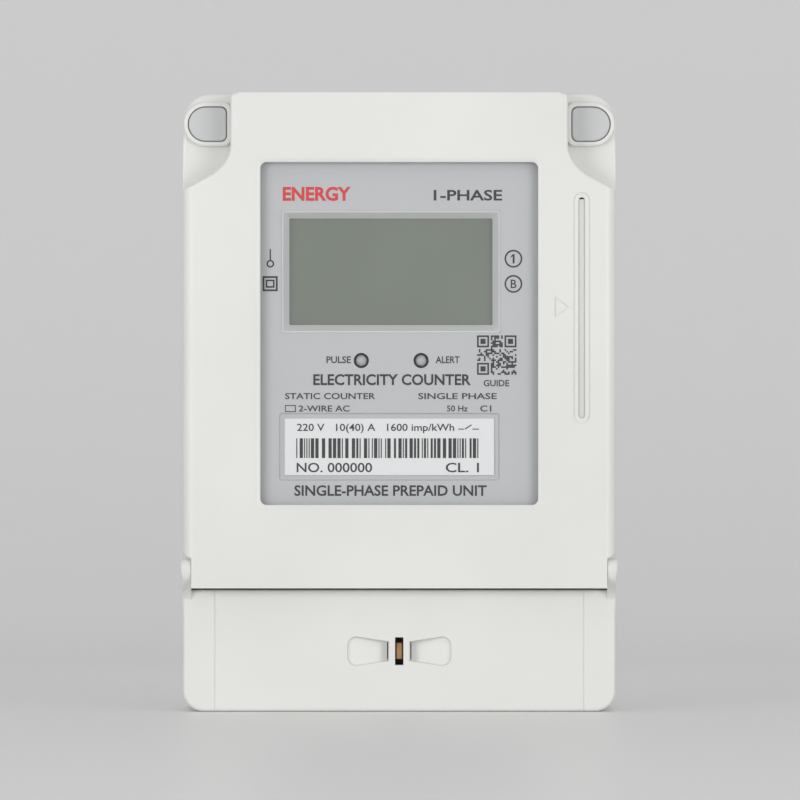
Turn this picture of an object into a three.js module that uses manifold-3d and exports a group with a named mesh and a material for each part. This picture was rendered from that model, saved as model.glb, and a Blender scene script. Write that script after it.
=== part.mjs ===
// A prepaid electricity meter: a single-phase, card-operated meter for wall mounting.
// Millimetres, +Z up, the front faces -Y, and the wall face lies in the plane y = 0.
// Below, x runs to the right, z runs up from the bottom edge, and a depth is the distance
// from the wall face towards the front. The group at the end moves the origin to the
// middle of the wall face.
import * as THREE from "three";
import { mergeVertices } from "three/addons/utils/BufferGeometryUtils.js";
import Module from "manifold-3d";

const wasm = await Module();
wasm.setup();

// ---- driving dimensions -------------------------------------------------------------
const WIDTH = 112;
const HEIGHT = 160;
const DEPTH = 71;
const WALL = 2.2;
const FIT = 0.3; // clearance between pieces that meet

const CASE_DEPTH = 30; // rear case, from the wall face to its joint with the front cover
const TOP_RADIUS = 7.3;
const BOTTOM_RADIUS = 4.9;

const FACE = 2.4; // front wall of the front cover
const EDGE = 1.5; // bevel of its front edge
const NECK_FROM_SIDE = 12.4; // how far the raised front is narrowed between the two corners
const CORNER_DROP = 11.5; // how far the corners lie behind the raised front
const CORNER_HEIGHT = 25.4; // from the top down to where the raised front is full width
const CAP_LENGTH = 9.6;
const CAP_RADIUS = 4.3;
const CAP_DEPTH = 3;
const CAP_RIM = 1.5;
const CAP_FROM_TOP = 8; // screw and cap centre below the top
const CAP_FROM_SIDE = 6.35; // screw and cap centre in from the side
const BOSS_RISE = 2;

const WINDOW_WIDTH = 71.7;
const WINDOW_LOW = 53.5;
const WINDOW_HEIGHT = 88.5;
const WINDOW_RADIUS = 1.6;
const PANE = 1;
const PLATE = 1.4;
const PLATE_MARGIN = 1.9; // how far pane and plate reach behind the window's edge
const LED_RADIUS = 1.5;
const LED_HOLE = 1.96;
const LED_X = [-9.8, 5.65];
const LED_FROM_TOP = 51.2; // below the window's top edge

const SCREEN_WIDTH = 52.5; // what the bezel leaves open
const SCREEN_HEIGHT = 27.5;
const SCREEN_X = -2.15;
const SCREEN_FROM_TOP = 28.25;
const BEZEL_SIDE = 1.95;
const BEZEL_DEPTH = 3.2;
const GLASS = 2.6;
const BACKLIGHT = 4;
const LABEL_WIDTH = 54.1;
const LABEL_HEIGHT = 14.6;
const LABEL_X = -2.55;
const LABEL_FROM_BOTTOM = 15;
const LABEL_RIM = 1.1;
const LABEL_SINK = 0.6;

const SLOT_LENGTH = 57;
const SLOT_WIDTH = 1.7;
const SLOT_LOW = 75.9;
const SLOT_FROM_SIDE = 8.9;
const CARD_TRAVEL = 44;
const HOLDER_WALL = 1.8;
const HOLDER_END = 1;
const HOLDER_PLAY = 0.1; // between the holder and the cover's side

const LID_HEIGHT = 31.5; // terminal cover
const LID_DROP = 8.5; // how far its front lies behind the raised front
const LID_PANEL_FROM_SIDE = 8.4; // where its raised middle ends
const LID_STEP = 0.4;
const SPLIT = 0.5; // gap between the terminal cover and the front cover
const EAR_RADIUS = 3;
const EAR_RISE = 5; // hinge axis above the front cover's lower edge
const EAR_THICK = 2.6;
const EAR_PROUD = 0.4;
const PIVOT_RADIUS = 1.2;
const PIVOT_LENGTH = 1.8;

const BLOCK_HALF = 41; // terminal block
const BLOCK_HEIGHT = 38;
const BLOCK_LOW = 3;
const BLOCK_DEPTH = 45;
const TERMINAL_X = [-32, -13, 13, 32];
const TERMINAL_SIZE = 12;
const TERMINAL_LENGTH = 25.4;
const WIRE_BORE = 3.8;
const WIRE_DEPTH = 27;
const CABLE_SLOT = 5.6; // how far the cable slot reaches beyond a wire's axis
const STRAP_WIDTH = 8;
const STRAP = 2;
const STRAP_TOP = 50;
const SCREW_SHANK = 2;
const SCREW_HEAD = 3.7;
const SCREW_HEAD_LENGTH = 3;
const SCREW_PITCH = 10;

const SEAL_Z = 15.6;
const SEAL_TUBE = 6.5;
const SEAL_CHAMBER = 4.5;
const SEAL_SHAFT = 1.9;
const SEAL_TRAVEL = 4;
const SEAL_FACE = 3.9; // from the cover's front to the chamber
const SEAL_REST = 3.6; // tube behind the screw when it is driven in
const SEAL_EYE = 0.8;
const WIRE_HOLE_HALF = 3.2; // hole for the seal's wire
const WIRE_HOLE_RISE = 1.7;
const SLIT_WIDTH = 2.15;
const SLIT_HEIGHT = 7.2;
const SCOOP_INNER = 2.6;
const SCOOP_OUTER = 13.5;
const SCOOP_DEPTH = 4.8;

const BOARD = 1.6;
const BOSS_X = 40.2; // screw bosses for the board
const BOSS_RADIUS = 2;
const BOSS_BORE = 1.3;
const BOSS_BELOW = 3.5; // below the window's lower edge
const BOSS_UNDER_TOP = 2; // below the window's top edge
const CASE_SCREW = 1.25;
const CASE_SCREW_HEAD = 2.8;
const POST = 4.2;
const TAB_SCREW_FROM_SIDE = 7.8;
const TAB_SCREW_BELOW = 6; // below the joint between the two covers
const WALL_HOLE = 2.3;
const WALL_HOLE_Z = 10;

const HOOK_WIDTH = 17.6;
const HOOK_LENGTH = 28.5;
const HOOK = 1.6;
const HOOK_HOLE = 3.2;

// ---- places worked out from them ----------------------------------------------------
const SIDE = WIDTH / 2;
const NECK_HALF = SIDE - NECK_FROM_SIDE;
const LID_PANEL = SIDE - LID_PANEL_FROM_SIDE;
const TAB_SCREW_X = SIDE - TAB_SCREW_FROM_SIDE;
const SPLIT_Z = LID_HEIGHT + SPLIT;
const TAB_SCREW_Z = SPLIT_Z - TAB_SCREW_BELOW;
const LID_FRONT = DEPTH - LID_DROP;
const CORNER_FRONT = DEPTH - CORNER_DROP;
const PANE_FRONT = DEPTH - FACE - FIT;
const PLATE_FRONT = PANE_FRONT - PANE - FIT;
const PLATE_BACK = PLATE_FRONT - PLATE;
const BEZEL_BACK = PLATE_FRONT - FIT - BEZEL_DEPTH;
const GLASS_FRONT = BEZEL_BACK - FIT;
const LIGHT_FRONT = GLASS_FRONT - GLASS - FIT;
const BOARD_FRONT = LIGHT_FRONT - BACKLIGHT - 0.6;
const BOARD_BACK = BOARD_FRONT - BOARD;
const WINDOW_TOP = WINDOW_LOW + WINDOW_HEIGHT;
const BOSS_Z = [WINDOW_LOW - BOSS_BELOW, WINDOW_TOP - BOSS_UNDER_TOP];
const SCREEN_Z = WINDOW_TOP - SCREEN_FROM_TOP;
const LED_Z = WINDOW_TOP - LED_FROM_TOP;
const LABEL_Z = WINDOW_LOW + LABEL_FROM_BOTTOM;
const SLOT_X = SIDE - SLOT_FROM_SIDE;
const HOLDER_LEFT = SLOT_X - SLOT_WIDTH / 2 - HOLDER_WALL;
const HOLDER_RIGHT = SLOT_X + SLOT_WIDTH / 2 + HOLDER_WALL;
const CAP_X = SIDE - CAP_FROM_SIDE;
const CAP_Z = HEIGHT - CAP_FROM_TOP;
const CHAMBER_FRONT = LID_FRONT - SEAL_FACE;
const TUBE_BACK = CHAMBER_FRONT - SEAL_CHAMBER - SEAL_TRAVEL - SEAL_REST;
const HINGE_Z = SPLIT_Z + EAR_RISE;
const HINGE_DEPTH = DEPTH - EAR_RADIUS;
const EAR_INNER = SIDE + EAR_PROUD - EAR_THICK;
const TERMINAL_LOW = BLOCK_LOW + 2.3;
const TERMINAL_FRONT = WIRE_DEPTH + TERMINAL_SIZE / 2;

// ---- finishes -----------------------------------------------------------------------
const finish = (color, roughness, metalness) => ({ color, roughness, metalness });
const WHITE = finish(0xe6e6e2, 0.45, 0);
const GREY = finish(0xc5c7c8, 0.5, 0);
const CLEAR = finish(0xf2f6f6, 0.1, 0);
const PAPER = finish(0xeef0f4, 0.6, 0);
const OLIVE = finish(0x7a8478, 0.2, 0);
const BLACK = finish(0x26262a, 0.5, 0);
const GREEN = finish(0x1f5b3a, 0.45, 0);
const BRASS = finish(0xb8924a, 0.35, 1);
const COPPER = finish(0xb06a45, 0.35, 1);
const STEEL = finish(0xa9acb0, 0.35, 1);
const BLUE = finish(0x27479a, 0.4, 0);
const AMBER = finish(0xd8a33a, 0.4, 0);

// ---- making solids ------------------------------------------------------------------
// A closed three.js geometry as a solid that can be cut and joined.
function solid(geometry) {
  const bare = new THREE.BufferGeometry();
  bare.setAttribute("position", geometry.getAttribute("position").clone());
  if (geometry.index) bare.setIndex(geometry.index.clone());
  const merged = mergeVertices(bare, 1e-4);
  const vertProperties = new Float32Array(merged.getAttribute("position").array);
  const triVerts = new Uint32Array(merged.index.array);
  return new wasm.Manifold(new wasm.Mesh({ numProp: 3, vertProperties, triVerts }));
}

// An outline in the front plane (x, z), from one depth to another.
function plate(shape, from, to, bevel = 0, steps = 6) {
  const options = { depth: to - from - 2 * bevel, curveSegments: steps };
  options.bevelEnabled = bevel > 0;
  options.bevelSize = bevel;
  options.bevelOffset = -bevel;
  options.bevelThickness = bevel;
  options.bevelSegments = 2;
  const geometry = new THREE.ExtrudeGeometry(shape, options);
  geometry.translate(0, 0, from + bevel).rotateX(Math.PI / 2);
  return solid(geometry);
}

// An outline in the side plane (depth, z), from one x to another.
function slab(shape, fromX, toX, steps = 8) {
  const options = { depth: toX - fromX, bevelEnabled: false, curveSegments: steps };
  const geometry = new THREE.ExtrudeGeometry(shape, options);
  const forward = new THREE.Vector3(0, -1, 0);
  const up = new THREE.Vector3(0, 0, 1);
  const left = new THREE.Vector3(-1, 0, 0);
  geometry.applyMatrix4(new THREE.Matrix4().makeBasis(forward, up, left)).translate(toX, 0, 0);
  return solid(geometry);
}

// A box between two x, two z and two depths.
function box(x0, x1, z0, z1, from, to) {
  const geometry = new THREE.BoxGeometry(x1 - x0, to - from, z1 - z0);
  geometry.translate((x0 + x1) / 2, -(from + to) / 2, (z0 + z1) / 2);
  return solid(geometry);
}

// A round bar from one depth to another.
function bar(x, z, radius, from, to, sides = 16) {
  const geometry = new THREE.CylinderGeometry(radius, radius, to - from, sides);
  geometry.translate(x, -(from + to) / 2, z);
  return solid(geometry);
}

// A round bar that stands upright.
function upright(x, depth, radius, z0, z1, sides = 16) {
  const geometry = new THREE.CylinderGeometry(radius, radius, z1 - z0, sides);
  geometry.rotateX(Math.PI / 2).translate(x, -depth, (z0 + z1) / 2);
  return solid(geometry);
}

// A round bar that lies from left to right.
function crossbar(x0, x1, depth, z, radius, sides = 16) {
  const geometry = new THREE.CylinderGeometry(radius, radius, x1 - x0, sides);
  geometry.rotateZ(Math.PI / 2).translate((x0 + x1) / 2, -depth, z);
  return solid(geometry);
}

const join = (parts) => parts.reduce((whole, part) => whole.add(part));
const cut = (body, tools) => tools.reduce((rest, tool) => rest.subtract(tool), body);

const meter = new THREE.Group();
meter.position.z = -HEIGHT / 2;

// Adds a solid to the meter as a named mesh with a finish of its own.
function add(name, look, body) {
  const raw = body.getMesh();
  const geometry = new THREE.BufferGeometry();
  geometry.setAttribute("position", new THREE.BufferAttribute(raw.vertProperties, 3));
  geometry.setIndex(new THREE.BufferAttribute(raw.triVerts, 1));
  geometry.computeVertexNormals();
  const mesh = new THREE.Mesh(geometry, new THREE.MeshStandardMaterial(look));
  mesh.name = name;
  meter.add(mesh);
}

// ---- outlines -----------------------------------------------------------------------
// A rectangle with its own radius at the top and bottom corners.
function rounded(x0, x1, z0, z1, top, bottom = top) {
  const shape = new THREE.Shape();
  shape.moveTo(x0 + bottom, z0);
  shape.lineTo(x1 - bottom, z0);
  if (bottom > 0) shape.absarc(x1 - bottom, z0 + bottom, bottom, -Math.PI / 2, 0);
  shape.lineTo(x1, z1 - top);
  if (top > 0) shape.absarc(x1 - top, z1 - top, top, 0, Math.PI / 2);
  shape.lineTo(x0 + top, z1);
  if (top > 0) shape.absarc(x0 + top, z1 - top, top, Math.PI / 2, Math.PI);
  shape.lineTo(x0, z0 + bottom);
  if (bottom > 0) shape.absarc(x0 + bottom, z0 + bottom, bottom, Math.PI, Math.PI * 1.5);
  return shape;
}

// The raised front: full width below, and narrowed to a neck between the two corners.
function raisedOutline(inset, low) {
  const side = SIDE - inset;
  const neck = NECK_HALF - inset;
  const top = HEIGHT - inset;
  const shoulder = HEIGHT - CORNER_HEIGHT - inset * 1.15;
  const bend = neck + (side - neck) * 0.44;
  const shape = new THREE.Shape();
  shape.moveTo(-side, low);
  shape.lineTo(side, low);
  shape.lineTo(side, shoulder);
  shape.lineTo(bend, shoulder + 3.9);
  shape.bezierCurveTo(bend - 3.2, shoulder + 5.7, neck + 0.1, shoulder + 8.6, neck, shoulder + 11.6);
  shape.lineTo(neck, top - 1);
  shape.lineTo(neck - 1.8, top);
  shape.lineTo(1.8 - neck, top);
  shape.lineTo(-neck, top - 1);
  shape.lineTo(-neck, shoulder + 11.6);
  shape.bezierCurveTo(-neck - 0.1, shoulder + 8.6, 3.2 - bend, shoulder + 5.7, -bend, shoulder + 3.9);
  shape.lineTo(-side, shoulder);
  return shape;
}

// A cap outline: a half circle on the outer side and two small corners on the inner side.
// side is -1 on the left and 1 on the right, and grow makes it larger all round.
function capOutline(side, grow) {
  const radius = CAP_RADIUS + grow;
  const outer = CAP_X + CAP_LENGTH / 2 + grow - radius;
  const inner = CAP_X - CAP_LENGTH / 2 - grow;
  const corner = 1.5 + grow / 2;
  const shape = new THREE.Shape();
  shape.moveTo(inner + corner, CAP_Z - radius);
  shape.lineTo(outer, CAP_Z - radius);
  shape.absarc(outer, CAP_Z, radius, -Math.PI / 2, Math.PI / 2);
  shape.lineTo(inner + corner, CAP_Z + radius);
  shape.absarc(inner + corner, CAP_Z + radius - corner, corner, Math.PI / 2, Math.PI);
  shape.lineTo(inner, CAP_Z - radius + corner);
  shape.absarc(inner + corner, CAP_Z - radius + corner, corner, Math.PI, Math.PI * 1.5);
  if (side > 0) return shape;
  const mirrored = shape.getPoints(6).map((point) => new THREE.Vector2(-point.x, point.y));
  return new THREE.Shape(mirrored.reverse());
}

const SIDES = { left: -1, right: 1 };

// The slot through which the cables enter, partly in the case's floor and partly in the cover's.
const cableSlot = () => box(TERMINAL_X[0] - CABLE_SLOT, TERMINAL_X[3] + CABLE_SLOT, -1, WALL + 0.5,
  WIRE_DEPTH - CABLE_SLOT, WIRE_DEPTH + CABLE_SLOT);

// ---- rear case ----------------------------------------------------------------------
const HOOK_POCKET = 2.8;
const HOOK_LIP = 0.8;
const HOOK_NECK = 13;
const BACK = 2.6;

function rearCase() {
  const outer = plate(rounded(-SIDE, SIDE, 0, HEIGHT, TOP_RADIUS, BOTTOM_RADIUS), 0, CASE_DEPTH);
  const inner = SIDE - WALL;
  const inside = rounded(-inner, inner, WALL, HEIGHT - WALL, TOP_RADIUS - WALL, BOTTOM_RADIUS - WALL);
  const hollow = plate(inside, BACK, CASE_DEPTH + 1);
  const partitions = [-1, 1].map((s) => {
    const near = s * (BLOCK_HALF + FIT);
    const far = s * (SIDE - WALL / 2);
    return box(Math.min(near, far), Math.max(near, far), SPLIT_Z, SPLIT_Z + WALL, BACK - 0.5, CASE_DEPTH);
  });
  const posts = [-1, 1].flatMap((s) => [
    bar(s * CAP_X, CAP_Z, POST, BACK - 0.5, CASE_DEPTH),
    bar(s * TAB_SCREW_X, TAB_SCREW_Z, POST - 0.6, BACK - 0.5, CASE_DEPTH),
  ]);
  const hookLow = HEIGHT - HOOK_LENGTH - 1.5 - FIT;
  const half = HOOK_WIDTH / 2 + FIT;
  const pad = box(-half - WALL, half + WALL, hookLow - WALL, HEIGHT - 1, 0.5, HOOK_POCKET + WALL);
  const shell = join([outer.subtract(hollow), ...partitions, ...posts, pad]);
  const pilots = [-1, 1].flatMap((s) => [
    bar(s * CAP_X, CAP_Z, CASE_SCREW + FIT, CASE_DEPTH / 2, CASE_DEPTH + 1),
    bar(s * TAB_SCREW_X, TAB_SCREW_Z, CASE_SCREW + FIT, CASE_DEPTH / 2, CASE_DEPTH + 1),
    bar(s * TAB_SCREW_X, WALL_HOLE_Z, WALL_HOLE, -1, BACK + 1),
  ]);
  const pocket = box(-half, half, hookLow, HEIGHT + 1, HOOK_LIP, HOOK_POCKET);
  const mouth = box(-HOOK_NECK / 2, HOOK_NECK / 2, hookLow, HEIGHT + 1, -1, HOOK_LIP + 0.1);
  return cut(shell, [...pilots, pocket, mouth, cableSlot()]);
}

function hangingHook() {
  const from = (HOOK_LIP + HOOK_POCKET - HOOK) / 2;
  const top = HEIGHT - 1.5;
  const outline = rounded(-HOOK_WIDTH / 2, HOOK_WIDTH / 2, top - HOOK_LENGTH, top, 4, 1);
  const grip = box(-4, 4, top - HOOK_LENGTH + 4, top - HOOK_LENGTH + 5.5, 0.2, from + 0.2);
  return plate(outline, from, from + HOOK, 0, 4).add(grip).subtract(bar(0, top - 8, HOOK_HOLE, -1, 5, 24));
}

// ---- front cover --------------------------------------------------------------------
const TAB = 2.5;
const SCREW_SEAT = 4;

function frontCover() {
  const joint = CASE_DEPTH + FIT;
  const low = SPLIT_Z;
  const raised = plate(raisedOutline(0, low - 10), joint + 8, DEPTH, EDGE);
  const full = plate(rounded(-SIDE, SIDE, low - 10, HEIGHT, TOP_RADIUS, 0), joint, CORNER_FRONT, 0);
  const bosses = [-1, 1].map((s) => plate(capOutline(s, CAP_RIM), joint, CORNER_FRONT + BOSS_RISE));
  const trim = box(-SIDE - 1, SIDE + 1, low - 12, low, 0, DEPTH + 1);
  const outer = join([raised, full, ...bosses]).subtract(trim);
  const hollowRaised = plate(raisedOutline(WALL, low + WALL), joint - 1, DEPTH - FACE);
  const inside = rounded(WALL - SIDE, SIDE - WALL, low + WALL, HEIGHT - WALL, TOP_RADIUS - WALL, 0);
  const hollowFull = plate(inside, joint - 1, CORNER_FRONT - WALL);
  const shell = outer.subtract(hollowRaised).subtract(hollowFull);
  const added = [-1, 1].flatMap((s) => {
    const span = (a, b, ...rest) => box(Math.min(s * a, s * b), Math.max(s * a, s * b), ...rest);
    return [
      bar(s * CAP_X, CAP_Z, POST + 0.8, joint, CORNER_FRONT - 1),
      span(EAR_INNER - 3, SIDE - 1, low, HINGE_Z + EAR_RADIUS + 4, HINGE_DEPTH - EAR_RADIUS - 6, DEPTH - 1),
      span(BLOCK_HALF + 2, SIDE - WALL - 0.5, TAB_SCREW_Z - 5, low + WALL, joint, joint + TAB),
      ...BOSS_Z.map((z) => bar(s * BOSS_X, z, BOSS_RADIUS, BOARD_FRONT + FIT, DEPTH - 1, 12)),
    ];
  });
  return cut(join([shell, ...added]), frontCoverCuts(joint));
}

function frontCoverCuts(joint) {
  const half = WINDOW_WIDTH / 2;
  const window = rounded(-half, half, WINDOW_LOW, WINDOW_TOP, WINDOW_RADIUS);
  const slotSide = SLOT_WIDTH / 2;
  const slotTop = SLOT_LOW + SLOT_LENGTH;
  const slot = rounded(SLOT_X - slotSide, SLOT_X + slotSide, SLOT_LOW, slotTop, SLOT_WIDTH / 2.01);
  const notch = BLOCK_HALF + FIT;
  const cuts = [
    plate(window, DEPTH - FACE - 1, DEPTH + 1, 0, 3),
    plate(slot, DEPTH - FACE - 1, DEPTH + 1, 0, 4),
    box(-notch, notch, SPLIT_Z - 1, SPLIT_Z + WALL + 1, joint - 1, BLOCK_DEPTH + FIT),
    box(SLOT_X, HOLDER_RIGHT + HOLDER_PLAY, SLOT_LOW - HOLDER_END - HOLDER_PLAY,
      slotTop + HOLDER_END + HOLDER_PLAY, joint, PANE_FRONT + FIT),
  ];
  for (const s of [-1, 1]) {
    cuts.push(plate(capOutline(s, FIT), CORNER_FRONT + BOSS_RISE - CAP_DEPTH - FIT, DEPTH));
    cuts.push(bar(s * CAP_X, CAP_Z, CASE_SCREW_HEAD + FIT, joint + SCREW_SEAT, DEPTH));
    cuts.push(bar(s * CAP_X, CAP_Z, CASE_SCREW + FIT, joint - 1, DEPTH));
    cuts.push(bar(s * TAB_SCREW_X, TAB_SCREW_Z, CASE_SCREW + FIT, joint - 1, joint + TAB + 1));
    for (const z of BOSS_Z)
      cuts.push(bar(s * BOSS_X, z, BOSS_BORE, BOARD_FRONT, BOARD_FRONT + 9, 8));
    cuts.push(earRecess(s), earBearing(s));
  }
  return cuts;
}

// The space at the cover's lower corner in which a hinge ear turns, with a sloping roof.
function earRecess(s) {
  const inner = EAR_INNER - FIT;
  const roof = HINGE_Z + EAR_RADIUS + 2 * FIT;
  const shape = new THREE.Shape();
  shape.moveTo(inner, SPLIT_Z - 1);
  shape.lineTo(SIDE + 5, SPLIT_Z - 1);
  shape.lineTo(SIDE + 5, roof + 5 + SIDE - inner);
  shape.lineTo(inner, roof);
  const points = shape.getPoints().map((point) => new THREE.Vector2(s * point.x, point.y));
  return plate(new THREE.Shape(s > 0 ? points : points.reverse()), HINGE_DEPTH - EAR_RADIUS - 4, DEPTH + 1);
}

function earBearing(s) {
  const ends = [s * (EAR_INNER - 4), s * (EAR_INNER + 1)].sort((a, b) => a - b);
  return crossbar(ends[0], ends[1], HINGE_DEPTH, HINGE_Z, PIVOT_RADIUS + FIT + 0.1, 20);
}

// ---- terminal cover -----------------------------------------------------------------
function terminalCover() {
  const back = CASE_DEPTH + FIT;
  const sunk = LID_FRONT - LID_STEP;
  const outline = (inset) => rounded(inset - SIDE, SIDE - inset, inset, LID_HEIGHT, 0, BOTTOM_RADIUS - inset);
  const panel = rounded(-LID_PANEL, LID_PANEL, 0, LID_HEIGHT, 0);
  const inside = rounded(WALL - SIDE, SIDE - WALL, WALL, LID_HEIGHT + 1, 0, BOTTOM_RADIUS - WALL);
  const shell = join([plate(outline(0), back, sunk), plate(panel, sunk - 1, LID_FRONT)])
    .subtract(plate(inside, back - 1, LID_FRONT - WALL));
  const padHalf = SCOOP_OUTER + 2;
  const padBack = LID_FRONT - SCOOP_DEPTH - 3.7;
  const pad = box(-padHalf, padHalf, SEAL_Z - 6, SEAL_Z + 6, padBack, LID_FRONT - 1);
  const tube = bar(0, SEAL_Z, SEAL_TUBE, TUBE_BACK, LID_FRONT - 1, 24);
  const body = join([shell, pad, tube, ear(-1), ear(1)]);
  const chamber = bar(0, SEAL_Z, SEAL_CHAMBER, TUBE_BACK + 1, CHAMBER_FRONT, 24);
  const throat = bar(0, SEAL_Z, SEAL_SHAFT + 0.4, TUBE_BACK - 1, TUBE_BACK + 2, 16);
  const slitSide = SLIT_WIDTH / 2;
  const slitRise = SLIT_HEIGHT / 2;
  const slit = box(-slitSide, slitSide, SEAL_Z - slitRise, SEAL_Z + slitRise, CHAMBER_FRONT - 1, DEPTH);
  const wireHole = box(-WIRE_HOLE_HALF, WIRE_HOLE_HALF, SEAL_Z - WIRE_HOLE_RISE, SEAL_Z + WIRE_HOLE_RISE,
    CHAMBER_FRONT - 3, CHAMBER_FRONT - 0.6);
  return cut(body, [chamber, throat, slit, wireHole, scoop(-1), scoop(1), cableSlot()]);
}

// A finger recess that deepens and narrows towards the seal screw.
function scoop(s) {
  const wide = 3.85;
  const narrow = 2.55;
  const radius = 2.4;
  const face = new THREE.Shape();
  face.moveTo(SCOOP_INNER, SEAL_Z - narrow);
  face.lineTo(SCOOP_OUTER - radius, SEAL_Z - wide);
  face.absarc(SCOOP_OUTER - radius, SEAL_Z - wide + radius, radius, -Math.PI / 2, 0);
  face.absarc(SCOOP_OUTER - radius, SEAL_Z + wide - radius, radius, 0, Math.PI / 2);
  face.lineTo(SCOOP_INNER, SEAL_Z + narrow);
  const points = face.getPoints(4).map((point) => new THREE.Vector2(s * point.x, point.y));
  const side = new THREE.Shape(s > 0 ? points : points.reverse());
  const column = plate(side, LID_FRONT - SCOOP_DEPTH - 1, LID_FRONT + 1);
  const ramp = new THREE.Shape();
  ramp.moveTo(s * (SCOOP_INNER - 1), LID_FRONT - SCOOP_DEPTH);
  ramp.lineTo(s * (SCOOP_OUTER + 1), LID_FRONT - 0.6);
  ramp.lineTo(s * (SCOOP_OUTER + 1), LID_FRONT + 1);
  ramp.lineTo(s * (SCOOP_INNER - 1), LID_FRONT + 1);
  return column.intersect(floorPlan(ramp, SEAL_Z - 6, SEAL_Z + 6));
}

// An outline in plan (x, depth), between two heights.
function floorPlan(shape, z0, z1) {
  const points = shape.getPoints(6).map((point) => new THREE.Vector2(point.x, -point.y));
  if (THREE.ShapeUtils.isClockWise(points)) points.reverse();
  const options = { depth: z1 - z0, bevelEnabled: false };
  const geometry = new THREE.ExtrudeGeometry(new THREE.Shape(points), options);
  return solid(geometry.translate(0, 0, z0));
}

// A hinge ear with its arm down to the cover's side and its stub axle.
function ear(s) {
  const shape = new THREE.Shape();
  shape.moveTo(LID_FRONT - LID_STEP - 12, LID_HEIGHT - 6);
  shape.lineTo(LID_FRONT - LID_STEP, LID_HEIGHT - 6);
  shape.lineTo(HINGE_DEPTH + EAR_RADIUS * 0.94, HINGE_Z - EAR_RADIUS * 0.34);
  shape.absarc(HINGE_DEPTH, HINGE_Z, EAR_RADIUS, -0.35, Math.PI * 0.9);
  shape.lineTo(LID_FRONT - LID_STEP - 2, LID_HEIGHT - 1);
  shape.lineTo(LID_FRONT - LID_STEP - 12, LID_HEIGHT - 1);
  const edges = [s * EAR_INNER, s * (SIDE + EAR_PROUD)].sort((a, b) => a - b);
  const axle = [s * (EAR_INNER - PIVOT_LENGTH), s * (EAR_INNER + 1)].sort((a, b) => a - b);
  return slab(shape, edges[0], edges[1]).add(crossbar(axle[0], axle[1], HINGE_DEPTH, HINGE_Z, PIVOT_RADIUS));
}

// ---- seal screw ---------------------------------------------------------------------
const SEAL_TIP = BLOCK_DEPTH + 0.4;
const RING = 1.2;
const RING_BACK = TUBE_BACK + 1 + FIT + SEAL_TRAVEL;

// The screw as it stands when backed out, its flat tang upright behind the slit.
function sealScrew() {
  const collar = RING_BACK + RING + FIT;
  const shaft = bar(0, SEAL_Z, SEAL_SHAFT, SEAL_TIP, collar + 0.5);
  const disc = bar(0, SEAL_Z, CASE_SCREW_HEAD + 0.8, collar, collar + 1, 20);
  const tang = box(-0.85, 0.85, SEAL_Z - 2.2, SEAL_Z + 2.2, collar + 0.5, CHAMBER_FRONT - FIT);
  const eye = crossbar(-3, 3, CHAMBER_FRONT - 1.8, SEAL_Z, SEAL_EYE, 8);
  return join([shaft, disc, tang]).subtract(eye);
}

function sealScrewRing() {
  const ring = bar(0, SEAL_Z, SEAL_CHAMBER - FIT, RING_BACK, RING_BACK + RING, 20);
  return ring.subtract(bar(0, SEAL_Z, SEAL_SHAFT + FIT, 0, DEPTH));
}

function sealScrewInsert() {
  const barrel = bar(0, SEAL_Z, SEAL_SHAFT + 1.4, BLOCK_DEPTH - 10, BLOCK_DEPTH - 0.1, 12);
  return barrel.subtract(bar(0, SEAL_Z, SEAL_SHAFT + FIT, BLOCK_DEPTH - 8, BLOCK_DEPTH + 1));
}

// ---- terminals ----------------------------------------------------------------------
const SCREW_Z = [0.26, 0.66].map((share) => TERMINAL_LOW + TERMINAL_LENGTH * share);

function terminalBlock() {
  const half = TERMINAL_SIZE / 2 + FIT;
  const back = BACK + FIT;
  const body = box(-BLOCK_HALF, BLOCK_HALF, BLOCK_LOW, BLOCK_HEIGHT, back, BLOCK_DEPTH);
  const top = TERMINAL_LOW + TERMINAL_LENGTH + FIT;
  const cuts = TERMINAL_X.flatMap((x) => [
    box(x - half, x + half, BLOCK_LOW - 1, top, back - 1, TERMINAL_FRONT + FIT),
    box(x - STRAP_WIDTH / 2 - FIT, x + STRAP_WIDTH / 2 + FIT, top - 1, BLOCK_HEIGHT + 1,
      WIRE_DEPTH - STRAP / 2 - FIT, WIRE_DEPTH + STRAP / 2 + FIT),
    ...SCREW_Z.map((z) => bar(x, z, SCREW_HEAD + 0.7, TERMINAL_FRONT, BLOCK_DEPTH + 1)),
  ]);
  cuts.push(bar(0, SEAL_Z, SEAL_SHAFT + 1.4 + FIT, BLOCK_DEPTH - 10 - FIT, BLOCK_DEPTH + 1, 12));
  return cut(body, cuts);
}

function terminal(x) {
  const half = TERMINAL_SIZE / 2;
  const top = TERMINAL_LOW + TERMINAL_LENGTH;
  const body = box(x - half, x + half, TERMINAL_LOW, top, WIRE_DEPTH - half, TERMINAL_FRONT);
  const strap = box(x - STRAP_WIDTH / 2, x + STRAP_WIDTH / 2, top - 1, STRAP_TOP,
    WIRE_DEPTH - STRAP / 2, WIRE_DEPTH + STRAP / 2);
  const bore = upright(x, WIRE_DEPTH, WIRE_BORE, TERMINAL_LOW - 1, top - 4, 20);
  const threads = SCREW_Z.map((z) => bar(x, z, SCREW_SHANK + FIT, WIRE_DEPTH, TERMINAL_FRONT + 1));
  return cut(body.add(strap), [bore, ...threads]);
}

// A screw that faces the front: a shank, a round head and a straight slot across it.
function screw(x, z, seat, shank, length, head, headLength) {
  const stem = bar(x, z, shank, seat - length, seat + 0.2, 12);
  const cap = bar(x, z, head, seat, seat + headLength);
  const front = seat + headLength;
  const slot = box(x - 0.5, x + 0.5, z - head - 1, z + head + 1, seat + headLength * 0.55, front + 1);
  return stem.add(cap).subtract(slot);
}

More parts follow.
